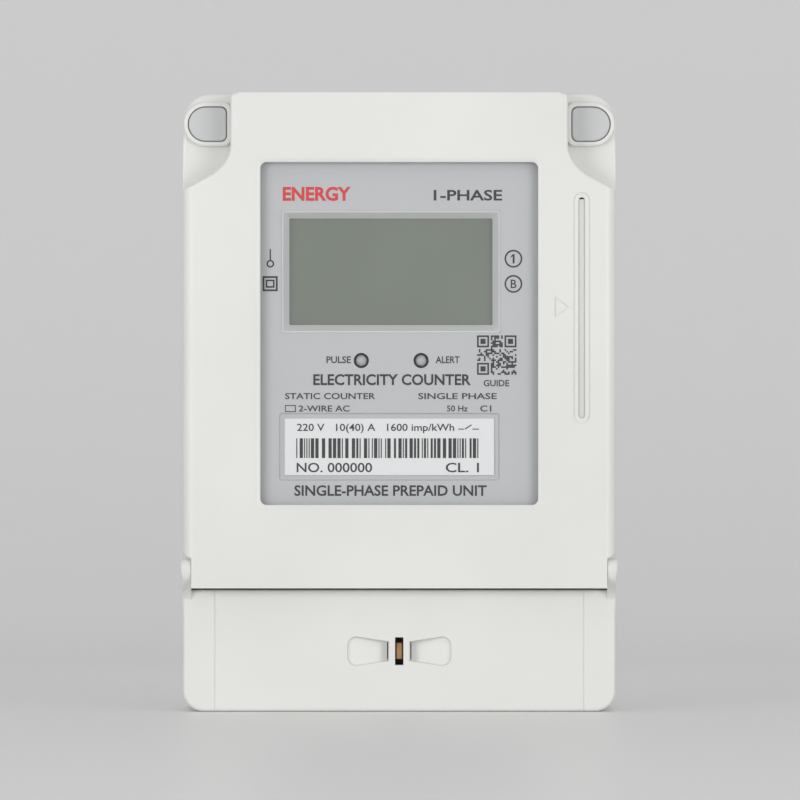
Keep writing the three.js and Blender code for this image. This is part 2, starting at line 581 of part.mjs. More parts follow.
const TERMINAL_SEAT = TERMINAL_FRONT + FIT;
const TERMINAL_SCREW = TERMINAL_SEAT - WIRE_DEPTH - WIRE_BORE + 1;
const terminalScrew = (x, z) =>
  screw(x, z, TERMINAL_SEAT, SCREW_SHANK, TERMINAL_SCREW, SCREW_HEAD, SCREW_HEAD_LENGTH);

// ---- current path above the terminals -----------------------------------------------
const LINK_FROM = WIRE_DEPTH + STRAP / 2 + FIT;
const LINK_TO = LINK_FROM + STRAP;
const LINK_LOW = BLOCK_HEIGHT + 2;
const RELAY_LOW = STRAP_TOP + 8;
const RELAY_HEIGHT = 30;

function relay() {
  const margin = STRAP_WIDTH;
  const x0 = TERMINAL_X[0] - margin;
  const x1 = TERMINAL_X[1] + margin;
  const top = RELAY_LOW + RELAY_HEIGHT;
  const front = BOARD_BACK - 10;
  const body = plate(rounded(x0, x1, RELAY_LOW, top, 1.5), LINK_FROM - 5, front, 0, 2);
  return body.add(box(x0 + 4, x1 - 4, RELAY_LOW + 4, top - 4, front - 1, front + 1));
}

// A flat strip from a terminal's strap up to the relay.
function relayStrip(x, waist) {
  const half = STRAP_WIDTH / 2;
  const strip = box(x - half, x + half, LINK_LOW, RELAY_LOW - FIT, LINK_FROM, LINK_TO);
  if (!waist) return strip;
  const middle = (LINK_LOW + RELAY_LOW) / 2;
  return cut(strip, [-1, 1].map((s) => bar(x + s * (half + 1), middle, 3, 0, DEPTH, 16)));
}

function neutralLink() {
  const half = STRAP_WIDTH / 2;
  const arch = rounded(TERMINAL_X[2] - half, TERMINAL_X[3] + half, LINK_LOW, STRAP_TOP, 2);
  return plate(arch, LINK_FROM, LINK_TO, 0, 3);
}

// ---- display ------------------------------------------------------------------------
// A rectangle in the front plane about its centre.
const panel = (x, z, width, height, radius = 0) =>
  rounded(x - width / 2, x + width / 2, z - height / 2, z + height / 2, radius);
const BEZEL_WIDTH = SCREEN_WIDTH + 2 * BEZEL_SIDE;
const BEZEL_HEIGHT = SCREEN_HEIGHT + 2 * BEZEL_SIDE;
const WINDOW_MIDDLE = (WINDOW_LOW + WINDOW_TOP) / 2;

function nameplate() {
  const width = WINDOW_WIDTH + 2 * PLATE_MARGIN;
  const height = WINDOW_HEIGHT + 2 * PLATE_MARGIN;
  const sheet = plate(panel(0, WINDOW_MIDDLE, width, height), PLATE_BACK, PLATE_FRONT);
  const bezelHole = panel(SCREEN_X, SCREEN_Z, BEZEL_WIDTH + 2 * FIT, BEZEL_HEIGHT + 2 * FIT);
  const recess = panel(LABEL_X, LABEL_Z, LABEL_WIDTH + 2 * LABEL_RIM, LABEL_HEIGHT + 2 * LABEL_RIM);
  return cut(sheet, [
    plate(bezelHole, 0, DEPTH),
    plate(recess, PLATE_FRONT - LABEL_SINK, DEPTH),
    ...LED_X.map((x) => bar(x, LED_Z, LED_HOLE, 0, DEPTH, 20)),
  ]);
}

// The frame round the display: four faces that slope in to the glass, cut as a frustum.
function lcdBezel() {
  const block = plate(panel(SCREEN_X, SCREEN_Z, BEZEL_WIDTH, BEZEL_HEIGHT), BEZEL_BACK, PLATE_FRONT - FIT);
  const funnel = new THREE.CylinderGeometry(Math.SQRT1_2, Math.SQRT1_2, 1, 4);
  funnel.rotateY(Math.PI / 4);
  const place = funnel.getAttribute("position");
  for (let i = 0; i < place.count; i += 1) {
    const atFront = place.getY(i) < 0;
    const grow = atFront ? BEZEL_SIDE * 2 - 0.6 : -0.6;
    place.setX(i, SCREEN_X + place.getX(i) * (SCREEN_WIDTH + grow));
    place.setZ(i, SCREEN_Z + place.getZ(i) * (SCREEN_HEIGHT + grow));
    place.setY(i, -(atFront ? PLATE_FRONT : BEZEL_BACK - FIT));
  }
  return block.subtract(solid(funnel));
}

function led(x) {
  const profile = [[0, 0], [LED_RADIUS + 0.3, 0], [LED_RADIUS + 0.3, 4.4], [LED_RADIUS, 4.4]];
  const dome = PLATE_FRONT - 0.6 - BOARD_FRONT - FIT - LED_RADIUS;
  for (let i = 0; i <= 4; i += 1) {
    const turn = (i / 4) * (Math.PI / 2);
    profile.push([i === 4 ? 0 : LED_RADIUS * Math.cos(turn), dome + LED_RADIUS * Math.sin(turn)]);
  }
  const geometry = new THREE.LatheGeometry(profile.map(([r, h]) => new THREE.Vector2(r, h)), 16);
  geometry.rotateZ(Math.PI).translate(x, -(BOARD_FRONT + FIT), LED_Z);
  return solid(geometry);
}

// ---- board and what stands on its back ----------------------------------------------
const BOARD_LOW = WINDOW_LOW - 8;
const BOARD_TOP = WINDOW_TOP + 2;
const BOARD_RIGHT = HOLDER_LEFT - 1;
const BOARD_LEFT = -BOSS_X - 3.2;
const ON_BOARD = BOARD_BACK - FIT; // where parts on the board's back begin

function mainBoard() {
  const board = box(BOARD_LEFT, BOARD_RIGHT, BOARD_LOW, BOARD_TOP, BOARD_BACK, BOARD_FRONT);
  const holes = boardScrewPlaces().map(([x, z]) => bar(x, z, 1 + FIT, 0, DEPTH, 12));
  return cut(board, holes);
}

const boardScrewPlaces = () =>
  [-1, 1].flatMap((s) => BOSS_Z.map((z) => [s * BOSS_X, z]));

// A screw driven from behind, its head against the board's back.
function boardScrew([x, z]) {
  const head = bar(x, z, 1.9, ON_BOARD - 1.6, ON_BOARD, 12);
  return head.add(bar(x, z, 1, ON_BOARD - 0.5, BOARD_FRONT + 7, 8));
}

function cardHolder() {
  const low = SLOT_LOW - HOLDER_END;
  const high = SLOT_LOW + SLOT_LENGTH + HOLDER_END;
  const back = PANE_FRONT - CARD_TRAVEL;
  const body = box(HOLDER_LEFT, HOLDER_RIGHT, low, high, back, PANE_FRONT);
  const track = box(SLOT_X - SLOT_WIDTH / 2, SLOT_X + SLOT_WIDTH / 2, SLOT_LOW, SLOT_LOW + SLOT_LENGTH,
    back + HOLDER_WALL, DEPTH);
  const middle = SLOT_LOW + SLOT_LENGTH / 2;
  const opening = box(HOLDER_LEFT - 1, SLOT_X, middle - 8, middle + 8, back + 5, back + 17);
  return cut(body, [track, opening]);
}

// The contact block beside the holder: eight sprung contacts reach through its opening.
function cardContactBlock() {
  const middle = SLOT_LOW + SLOT_LENGTH / 2;
  const back = PANE_FRONT - CARD_TRAVEL;
  const right = HOLDER_LEFT - FIT;
  const body = box(right - 5, right, middle - 9, middle + 9, back + 4, back + 18);
  const contacts = [-1.5, -0.5, 0.5, 1.5].flatMap((row) => {
    const z = middle + row * 3.2;
    return [7, 12].map((depth) =>
      box(right - 0.5, HOLDER_LEFT + 1.5, z - 0.5, z + 0.5, back + depth, back + depth + 3));
  });
  return join([body, ...contacts]);
}

function powerTransformer() {
  const x = BOARD_LEFT + 20;
  const z = BOARD_TOP - 19;
  const bobbin = box(x - 8, x + 8, z - 12, z + 12, ON_BOARD - 20, ON_BOARD);
  const core = box(x - 14, x + 14, z - 8, z + 8, ON_BOARD - 18, ON_BOARD - 4);
  return bobbin.add(core);
}

function battery() {
  const z = BOARD_TOP - 12;
  return crossbar(2, 27, ON_BOARD - 7.3, z, 7.2, 20).add(crossbar(26, 28, ON_BOARD - 7.3, z, 3, 12));
}

// ---- the pieces ---------------------------------------------------------------------
add("rear_case", WHITE, rearCase());
add("hanging_hook", STEEL, hangingHook());
add("front_cover", WHITE, frontCover());
add("terminal_cover", WHITE, terminalCover());
add("window_pane", CLEAR, plate(panel(0, WINDOW_MIDDLE, WINDOW_WIDTH + 2 * PLATE_MARGIN,
  WINDOW_HEIGHT + 2 * PLATE_MARGIN), PANE_FRONT - PANE, PANE_FRONT));
add("nameplate", GREY, nameplate());
add("rating_label", PAPER, plate(panel(LABEL_X, LABEL_Z, LABEL_WIDTH, LABEL_HEIGHT),
  PLATE_FRONT - LABEL_SINK + 0.1, PLATE_FRONT - 0.1));
add("lcd_bezel", GREY, lcdBezel());
add("lcd_glass", OLIVE, plate(panel(SCREEN_X, SCREEN_Z, SCREEN_WIDTH + 4, SCREEN_HEIGHT + 4),
  GLASS_FRONT - GLASS, GLASS_FRONT));
add("lcd_backlight", PAPER, plate(panel(SCREEN_X, SCREEN_Z, SCREEN_WIDTH + 2, SCREEN_HEIGHT + 2),
  LIGHT_FRONT - BACKLIGHT, LIGHT_FRONT));
add("pulse_led", CLEAR, led(LED_X[0]));
add("alarm_led", CLEAR, led(LED_X[1]));
add("main_board", GREEN, mainBoard());
boardScrewPlaces().forEach((place, i) => add(`board_screw_${i + 1}`, STEEL, boardScrew(place)));
add("card_holder", WHITE, cardHolder());
add("card_contact_block", BLACK, cardContactBlock());

add("terminal_block", BLACK, terminalBlock());
TERMINAL_X.forEach((x, i) => {
  add(`terminal_${i + 1}`, BRASS, terminal(x));
  SCREW_Z.forEach((z, j) => add(`terminal_screw_${2 * i + j + 1}`, STEEL, terminalScrew(x, z)));
});
add("shunt", COPPER, relayStrip(TERMINAL_X[0], true));
add("relay_busbar", COPPER, relayStrip(TERMINAL_X[1], false));
add("neutral_link", COPPER, neutralLink());
add("relay", BLACK, relay());

add("power_transformer", AMBER, powerTransformer());
add("battery", BLUE, battery());
[0, 1].forEach((i) => add(`filter_capacitor_${i + 1}`, BLACK,
  bar(6 + i * 13, WINDOW_MIDDLE + 12, 5, ON_BOARD - 16, ON_BOARD)));
add("varistor", BLUE, bar(BOARD_LEFT + 8, WINDOW_MIDDLE + 8, 5, ON_BOARD - 4, ON_BOARD));
add("buzzer", BLACK, bar(28, WINDOW_MIDDLE - 4, 6, ON_BOARD - 7, ON_BOARD, 20));
add("controller_chip", BLACK, plate(panel(10, WINDOW_MIDDLE - 10, 14, 14), ON_BOARD - 2, ON_BOARD));
add("metering_chip", BLACK, plate(panel(8, WINDOW_LOW + 10, 10, 8), ON_BOARD - 2, ON_BOARD));

add("seal_screw", BRASS, sealScrew());
add("seal_screw_ring", STEEL, sealScrewRing());
add("seal_screw_insert", BRASS, sealScrewInsert());
for (const [side, s] of Object.entries(SIDES)) {
  const seat = CASE_DEPTH + FIT;
  const length = CASE_DEPTH / 2;
  const caseScrew = (x, z, from) => screw(s * x, z, from + FIT, CASE_SCREW, length, CASE_SCREW_HEAD, 2);
  add(`cover_screw_${side}`, STEEL, caseScrew(CAP_X, CAP_Z, seat + SCREW_SEAT));
  add(`lower_case_screw_${side}`, STEEL, caseScrew(TAB_SCREW_X, TAB_SCREW_Z, seat + TAB));
  const front = CORNER_FRONT + BOSS_RISE;
  add(`seal_cap_${side}`, GREY, plate(capOutline(s, 0), front - CAP_DEPTH, front - FIT));
}

export default meter;
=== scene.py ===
"""Looks of a prepaid electricity meter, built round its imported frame.

The frame gives every body and place. This script replaces the visible shells, caps, lamps
and screws with finely made pieces, prints the plate and the label, and dresses each piece
and each carried-over node in a finish worked out from the real material.
"""

import logging
import math
import random
from dataclasses import dataclass
from enum import Enum
from typing import Any, Callable, Iterable, Sequence

import bpy
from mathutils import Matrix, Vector


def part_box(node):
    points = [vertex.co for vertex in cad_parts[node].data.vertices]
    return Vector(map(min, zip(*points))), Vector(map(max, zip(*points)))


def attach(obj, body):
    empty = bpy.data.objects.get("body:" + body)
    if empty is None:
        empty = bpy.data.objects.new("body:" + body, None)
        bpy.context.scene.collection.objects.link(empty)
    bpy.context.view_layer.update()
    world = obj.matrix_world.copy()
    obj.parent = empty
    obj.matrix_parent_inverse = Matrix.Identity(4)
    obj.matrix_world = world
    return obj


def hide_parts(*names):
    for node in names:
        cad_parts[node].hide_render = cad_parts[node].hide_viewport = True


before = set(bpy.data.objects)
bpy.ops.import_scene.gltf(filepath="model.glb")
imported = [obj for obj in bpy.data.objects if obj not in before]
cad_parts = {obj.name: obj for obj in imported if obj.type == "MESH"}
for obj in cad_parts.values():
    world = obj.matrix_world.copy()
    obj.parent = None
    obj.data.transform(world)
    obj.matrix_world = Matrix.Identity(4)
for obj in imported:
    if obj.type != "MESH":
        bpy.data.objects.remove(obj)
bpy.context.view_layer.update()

LOG = logging.getLogger("meter")
MM = 0.001
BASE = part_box("rear_case")[0].z
Point = tuple[float, float]
Place = tuple[float, float, float]
Piece = bpy.types.Object
EdgeTest = Callable[[Vector, Vector], bool]
NEAR = 1e-6
THREAD_PITCH = 0.8
THREAD_START = 0.9


# ---- places and colours ---------------------------------------------------------------
def at(x: float, depth: float, z: float) -> Vector:
    """Turns a place on the meter into scene coordinates.

    Args:
        x: millimetres to the right of the middle.
        depth: millimetres from the wall face towards the front.
        z: millimetres above the bottom edge.

    Returns:
        The point in metres, in the frame's own axes.
    """
    return Vector((x * MM, -depth * MM, BASE + z * MM))


def span(node: str) -> tuple[float, float, float, float, float, float]:
    """Gives a frame node's box in the meter's own millimetres.

    Args:
        node: the node's name.

    Returns:
        Lowest and highest x, lowest and highest depth, lowest and highest z.
    """
    low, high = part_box(node)
    return (low.x / MM, high.x / MM, -high.y / MM, -low.y / MM,
            (low.z - BASE) / MM, (high.z - BASE) / MM)


def middle(node: str) -> Point:
    """Gives the x and z of the middle of a node's box."""
    x0, x1, _, _, z0, z1 = span(node)
    return (x0 + x1) / 2, (z0 + z1) / 2


def linear(colour: str) -> tuple[float, float, float, float]:
    """Turns an sRGB hex colour into the linear values that shaders use.

    Args:
        colour: six hex digits, such as "E6E6E2".

    Returns:
        Linear red, green, blue and an alpha of one.
    """
    values = [int(colour[i:i + 2], 16) / 255 for i in (0, 2, 4)]
    red, green, blue = (v / 12.92 if v <= 0.04045 else ((v + 0.055) / 1.055) ** 2.4 for v in values)
    return red, green, blue, 1.0


# ---- finishes -------------------------------------------------------------------------
def add_node(tree: bpy.types.NodeTree, kind: str, settings: dict[str, Any],
             links: dict[str | int, Any] | None = None) -> bpy.types.Node:
    """Adds one shader node with its settings and its incoming links.

    Args:
        tree: the node tree that takes it.
        kind: the node's class name.
        settings: socket or property names with their values.
        links: socket names or numbers with the outputs that feed them.

    Returns:
        The new node.
    """
    node = tree.nodes.new(kind)
    for name, value in settings.items():
        if name in node.inputs:
            node.inputs[name].default_value = value
        else:
            setattr(node, name, value)
    for name, output in (links or {}).items():
        tree.links.new(output, node.inputs[name])
    return node


def ramp(tree: bpy.types.NodeTree, source: Any, low: str, high: str,
         start: float = 0.3, stop: float = 0.7) -> Any:
    """Spreads a grey value between two colours.

    Args:
        tree: the node tree.
        source: the output that holds the grey value.
        low: hex colour where the value is low.
        high: hex colour where the value is high.
        start: value at which the low colour ends.
        stop: value at which the high colour begins.

    Returns:
        The colour output.
    """
    node = add_node(tree, "ShaderNodeValToRGB", {}, {"Fac": source})
    first, last = node.color_ramp.elements
    first.position, last.position = start, stop
    first.color, last.color = linear(low), linear(high)
    return node.outputs["Color"]


@dataclass(frozen=True)
class Finish:
    """What every finish has: the name of its material, its nodes and how it is drawn."""

    name: str

    def material(self) -> bpy.types.Material:
        """Returns the finish's material, made once and then used again."""
        made = bpy.data.materials.get(self.name)
        if made:
            return made
        made = bpy.data.materials.new(self.name)
        made.use_nodes = True
        tree = made.node_tree
        tree.nodes.clear()
        shader = add_node(tree, "ShaderNodeBsdfPrincipled", {})
        add_node(tree, "ShaderNodeOutputMaterial", {}, {"Surface": shader.outputs["BSDF"]})
        self.draw(Brush(tree, shader, add_node(tree, "ShaderNodeTexCoord", {}).outputs["Object"]))
        return made

    def draw(self, brush: "Brush") -> None:
        """Sets the shader up; each finish has its own way."""
        raise NotImplementedError


@dataclass
class Brush:
    """Adds the nodes that a finish is drawn with; place is the point on the object, in metres."""

    tree: bpy.types.NodeTree
    shader: bpy.types.Node
    place: Any

    def noise(self, size_mm: float, detail: float, along: Place | None = None) -> Any:
        """Adds a noise.

        Args:
            size_mm: the size of its features.
            detail: how much finer its smallest features are.
            along: a stretch on each axis, where it has one.

        Returns:
            The output with its grey value.
        """
        place = self.place
        if along:
            place = add_node(self.tree, "ShaderNodeMapping", {"Scale": along},
                             {"Vector": place}).outputs["Vector"]
        settings = {"Scale": 1 / (size_mm * MM), "Detail": detail}
        return add_node(self.tree, "ShaderNodeTexNoise", settings, {"Vector": place}).outputs["Fac"]

    def tint(self, source: Any, dark: str, light: str) -> None:
        """Spreads the base colour between two colours."""
        self.tree.links.new(ramp(self.tree, source, dark, light), self.shader.inputs["Base Color"])

    def gloss(self, source: Any, low: float, high: float) -> None:
        """Varies the roughness between two values."""
        spread = add_node(self.tree, "ShaderNodeMapRange", {"To Min": low, "To Max": high},
                          {"Value": source})
        self.tree.links.new(spread.outputs["Result"], self.shader.inputs["Roughness"])

    def relief(self, source: Any, strength: float, height_mm: float) -> None:
        """Turns a grey value into a fine relief."""
        settings = {"Strength": strength, "Distance": height_mm * MM}
        bump = add_node(self.tree, "ShaderNodeBump", settings, {"Height": source})
        self.tree.links.new(bump.outputs["Normal"], self.shader.inputs["Normal"])

    def fix(self, **values: Any) -> None:
        """Sets constants on the shader; an underscore in a name stands for a space."""
        for name, value in values.items():
            self.shader.inputs[name.replace("_", " ")].default_value = value


@dataclass(frozen=True)
class Moulded(Finish):
    """Injection-moulded plastic: a spark-eroded tool leaves a fine, even grain on it."""

    light: str
    dark: str
    roughness: float = 0.42
    grain_mm: float = 0.35
    height_mm: float = 0.012
    ior: float = 1.53

    def draw(self, brush: Brush) -> None:
        """Draws slow shade changes from the melt's flow, and the tool's grain."""
        brush.tint(brush.noise(1000 / 22, 3), self.dark, self.light)
        grain = brush.noise(self.grain_mm, 2)
        brush.gloss(grain, self.roughness - 0.05, self.roughness + 0.07)
        brush.relief(grain, 0.35, self.height_mm)
        brush.fix(IOR=self.ior)


@dataclass(frozen=True)
class Metal(Finish):
    """Bare or plated metal: drawn, turned or rolled, with fine lines and slow tarnish."""

    light: str
    dark: str
    roughness: float = 0.3
    line_mm: float = 0.15
    along: Place = (1.0, 1.0, 0.08)

    def draw(self, brush: Brush) -> None:
        """Draws the lines of its making, stretched along one way, and cloudy tarnish."""
        brush.tint(brush.noise(1000 / 180, 4), self.dark, self.light)
        lines = brush.noise(self.line_mm, 2, self.along)
        brush.gloss(lines, self.roughness - 0.08, self.roughness + 0.14)
        brush.relief(lines, 0.3, 0.006)
        brush.fix(Metallic=1.0)


@dataclass(frozen=True)
class Clear(Finish):
    """A clear part: cast, moulded or polished, seen through and softly glossy."""

    tint: str
    alpha: float
    roughness: float = 0.06
    ior: float = 1.58

    def draw(self, brush: Brush) -> None:
        """Draws a thin haze that changes a little from place to place."""
        brush.gloss(brush.noise(1000 / 60, 2), self.roughness, self.roughness + 0.05)
        brush.fix(Base_Color=linear(self.tint), Alpha=self.alpha, IOR=self.ior)


@dataclass(frozen=True)
class Glossy(Finish):
    """A smooth coloured skin, such as solder mask, sleeve, lacquer or display glass."""

    light: str
    dark: str
    roughness: float = 0.18
    pattern_mm: float = 4.0
    coat: float = 0.3

    def draw(self, brush: Brush) -> None:
        """Draws soft colour changes under a clear coat."""
        cloud = brush.noise(self.pattern_mm, 3)
        brush.tint(cloud, self.dark, self.light)
        brush.gloss(cloud, self.roughness - 0.04, self.roughness + 0.06)
        brush.fix(Coat_Weight=self.coat, Coat_Roughness=0.08)


@dataclass(frozen=True)
class Printed(Finish):
    """Ink or label stock: matt, with the fine tooth of paper or screen printing."""

    light: str
    dark: str
    tooth_mm: float = 0.12

    def draw(self, brush: Brush) -> None:
        """Draws the tooth of the stock and the slight mottle of the ink."""
        tooth = brush.noise(self.tooth_mm, 2)
        brush.tint(tooth, self.dark, self.light)
        brush.relief(tooth, 0.2, 0.004)
        brush.fix(Roughness=0.6)


# ---- modelling by hand ----------------------------------------------------------------
class Join(Enum):
    """How one solid changes another."""

    ADD = "UNION"
    CUT = "DIFFERENCE"
    KEEP = "INTERSECT"


def clear_selection() -> None:
    """Leaves edit mode and deselects everything."""
    if bpy.context.object and bpy.context.object.mode != "OBJECT":
        bpy.ops.object.mode_set(mode="OBJECT")
    bpy.ops.object.select_all(action="DESELECT")


def activate(piece: Piece) -> None:
    """Makes a piece the only selected object and the active one."""
    clear_selection()
    piece.select_set(True)
    bpy.context.view_layer.objects.active = piece


def settle(piece: Piece, name: str) -> Piece:
    """Moves a piece's place into its mesh and names it.

    Args:
        piece: the object as it was added.
        name: its new name.

    Returns:
        The same object, at the origin, unturned and unscaled.
    """
    activate(piece)
    bpy.ops.object.transform_apply(location=True, rotation=True, scale=True)
    piece.name = name
    return piece


def brick(name: str, x: Point, depth: Point, z: Point) -> Piece:
    """Adds a block between two values on each axis, in millimetres."""
    low, high = at(x[0], depth[1], z[0]), at(x[1], depth[0], z[1])
    clear_selection()
    bpy.ops.mesh.primitive_cube_add(size=1, location=(low + high) / 2, scale=high - low)
    return settle(bpy.context.object, name)


def rod(name: str, centre: Vector, radius: float, length: float, axis: str = "y",
        sides: int = 40) -> Piece:
    """Adds a round bar about its centre.

    Args:
        name: the new object's name.
        centre: its middle, in metres.
        radius: in millimetres.
        length: in millimetres.
        axis: the way it runs, "x", "y" or "z".
        sides: faces round it.

    Returns:
        The new object.
    """
    turn = {"x": (0, math.pi / 2, 0), "y": (math.pi / 2, 0, 0), "z": (0, 0, 0)}[axis]
    clear_selection()
    bpy.ops.mesh.primitive_cylinder_add(vertices=sides, radius=radius * MM, depth=length * MM,
                                        location=centre, rotation=turn)
    return settle(bpy.context.object, name)


def trace(name: str, places: Sequence[Vector], pull: Vector) -> Piece:
    """Draws an outline point by point, fills it and pulls it into a solid.

    Args:
        name: the new object's name.
        places: the outline's corners in order, in metres.
        pull: how far and which way the face is extruded, in metres.

    Returns:
        The solid, in object mode.
    """
    clear_selection()
    bpy.ops.mesh.primitive_plane_add(size=MM, location=places[0])
    piece = settle(bpy.context.object, name)
    bpy.ops.object.mode_set(mode="EDIT")
    bpy.context.tool_settings.mesh_select_mode = (True, False, False)
    bpy.ops.mesh.select_all(action="SELECT")
    bpy.ops.mesh.merge(type="CENTER")
    for start, stop in zip(places, places[1:]):
        bpy.ops.mesh.extrude_region_move(TRANSFORM_OT_translate={"value": stop - start})
    bpy.ops.mesh.select_all(action="SELECT")
    bpy.ops.mesh.edge_face_add()
    bpy.ops.mesh.extrude_region_move(TRANSFORM_OT_translate={"value": pull})
    bpy.ops.mesh.select_all(action="SELECT")
    bpy.ops.mesh.normals_make_consistent(inside=False)
    bpy.ops.object.mode_set(mode="OBJECT")
    return piece


def prism(name: str, outline: Sequence[Point], back: float, front: float) -> Piece:
    """Makes a solid from an outline in the front plane between two depths."""
    places = [at(x, front, z) for x, z in outline]
    return trace(name, places, Vector((0, (front - back) * MM, 0)))


def pick_edges(piece: Piece, test: EdgeTest) -> None:
    """Enters edit mode with the edges selected whose two ends pass a test."""
    activate(piece)
    mesh = piece.data
    for items in (mesh.vertices, mesh.edges, mesh.polygons):
        items.foreach_set("select", [False] * len(items))
    for edge in mesh.edges:
        a, b = (mesh.vertices[i] for i in edge.vertices)
        if test(a.co, b.co):
            edge.select = a.select = b.select = True
    bpy.context.tool_settings.mesh_select_mode = (False, True, False)
    bpy.ops.object.mode_set(mode="EDIT")


def soften(piece: Piece, radius: float, steps: int,
           test: EdgeTest) -> Piece:
    """Rounds the edges whose two ends pass a test.

    Args:
        piece: the solid.
        radius: in millimetres.
        steps: faces across the round.
        test: takes an edge's two ends in metres.

    Returns:
        The same object.
    """
    pick_edges(piece, test)
    bpy.ops.mesh.bevel(offset=radius * MM, segments=steps, profile=0.5, affect="EDGES", clamp_overlap=True)
    bpy.ops.object.mode_set(mode="OBJECT")
    return piece


def on_depth(depth: float) -> EdgeTest:
    """Gives a test for edges that lie all in the plane at one depth."""
    plane = -depth * MM
    return lambda a, b: abs(a.y - plane) < NEAR and abs(b.y - plane) < NEAR


def runs(axis: str, depth: float, above: float | None = None) -> EdgeTest:
    """Gives a test for straight edges in the plane at one depth.

    Args:
        axis: the axis that they run along, "x" or "z".
        depth: the plane's depth.
        above: a height that they have to be above, where there is one.

    Returns:
        The test.
    """
    flat = on_depth(depth)
    other = "z" if axis == "x" else "x"
    low = -1.0 if above is None else BASE + above * MM

    def test(a: Vector, b: Vector) -> bool:
        """Says whether an edge lies flat, runs straight and is high enough."""
        return flat(a, b) and abs(getattr(a, other) - getattr(b, other)) < NEAR and min(a.z, b.z) > low

    return test


def around(axis: str) -> EdgeTest:
    """Gives a test for edges that lie square to an axis."""
    return lambda a, b: abs(getattr(a, axis) - getattr(b, axis)) < NEAR / 10


def flare(piece: Piece, depth: float, middle: Point, size: Point, grow: float) -> Piece:
    """Widens the end of a cutter at one depth, so that it leaves a chamfer.

    Args:
        piece: the cutter.
        depth: where its wide end is, in millimetres.
        middle: x and z of its middle.
        size: its width and height before.
        grow: how much wider it gets on each side.

    Returns:
        The same object.
    """
    pick_edges(piece, on_depth(depth))
    factors = ((size[0] + 2 * grow) / size[0], 1.0, (size[1] + 2 * grow) / size[1])
    bpy.ops.transform.resize(value=factors, center_override=at(middle[0], depth, middle[1]))
    bpy.ops.object.mode_set(mode="OBJECT")
    return piece


def combine(body: Piece, how: Join, *tools: Piece) -> Piece:
    """Joins, cuts or intersects a solid with others, which are used up."""
    for tool in tools:
        activate(body)
        change = body.modifiers.new("combine", "BOOLEAN")
        change.operation = how.value
        change.solver = "EXACT"
        change.object = tool
        bpy.ops.object.modifier_apply(modifier=change.name)
        bpy.data.objects.remove(tool)
    return body


def cut(body: Piece, *tools: Piece) -> Piece:
    """Cuts tools out of a solid."""
    return combine(body, Join.CUT, *tools)


def add(body: Piece, *tools: Piece) -> Piece:
    """Joins tools to a solid."""
    return combine(body, Join.ADD, *tools)


def arc(centre: Point, radius: float, start: float, stop: float, steps: int = 10) -> list[Point]:
    """Gives points along an arc; angles in degrees, anticlockwise as seen from the front."""
    turns = [math.radians(start + (stop - start) * i / steps) for i in range(steps + 1)]
    return [(centre[0] + radius * math.cos(t), centre[1] + radius * math.sin(t)) for t in turns]


def sweep(start: Point, near: Point, far: Point, stop: Point, steps: int = 12) -> list[Point]:
    """Gives points along a curve that leaves start towards near and reaches stop from far."""
    points = []
    for i in range(steps + 1):
        t = i / steps
        parts = ((1 - t) ** 3, 3 * t * (1 - t) ** 2, 3 * t * t * (1 - t), t ** 3)
        x, z = (sum(k * p[axis] for k, p in zip(parts, (start, near, far, stop))) for axis in (0, 1))
        points.append((x, z))
    return points


def rounded(x: Point, z: Point, top: float, bottom: float, steps: int = 10) -> list[Point]:
    """Gives a rectangle's outline with its own radius for the top and bottom corners."""
    outline: list[Point] = []
    corners = ((x[1] - bottom, z[0] + bottom, bottom, -90), (x[1] - top, z[1] - top, top, 0),
               (x[0] + top, z[1] - top, top, 90), (x[0] + bottom, z[0] + bottom, bottom, 180))
    for cx, cz, radius, turn in corners:
        outline += arc((cx, cz), radius, turn, turn + 90, steps) if radius > 0.01 else [(cx, cz)]
    return outline


def flip(outline: Iterable[Point], side: int) -> list[Point]:
    """Mirrors an outline to the left when side is -1."""
    return [(side * x, z) for x, z in outline]


def ordered(a: float, b: float) -> Point:
    """Returns the two values with the lower one first."""
    return (a, b) if a < b else (b, a)


def dress(piece: Piece, finish: Finish) -> Piece:
    """Gives a piece one finish in place of whatever it had."""
    piece.data.materials.clear()
    piece.data.materials.append(finish.material())
    return piece


def hand_over(piece: Piece, name: str, body: str, finish: Finish, slot: str,
              *nodes: str, angle: float = 32) -> Piece:
    """Finishes a piece: its shading, finish, body and the nodes that it stands for.

    Args:
        piece: the modelled object.
        name: its final name.
        body: the frame body that it moves with.
        finish: what it is made of.
        slot: the record's material slot; not used.
        nodes: frame nodes that it replaces.
        angle: edges sharper than this many degrees stay sharp.

    Returns:
        The same object.
    """
    activate(piece)
    piece.name = name
    bpy.ops.object.mode_set(mode="EDIT")
    bpy.ops.mesh.select_all(action="SELECT")
    bpy.ops.mesh.remove_doubles(threshold=0.002 * MM)
    bpy.ops.mesh.normals_make_consistent(inside=False)
    bpy.ops.object.mode_set(mode="OBJECT")
    bpy.ops.object.shade_smooth_by_angle(angle=math.radians(angle))
    even = piece.modifiers.new("even", "WEIGHTED_NORMAL")
    even.keep_sharp = True
    bpy.ops.object.modifier_apply(modifier=even.name)
    dress(piece, finish)
    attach(piece, body)
    if nodes:
        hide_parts(*nodes)
    LOG.info("%s: %d faces", name, len(piece.data.polygons))
    return piece


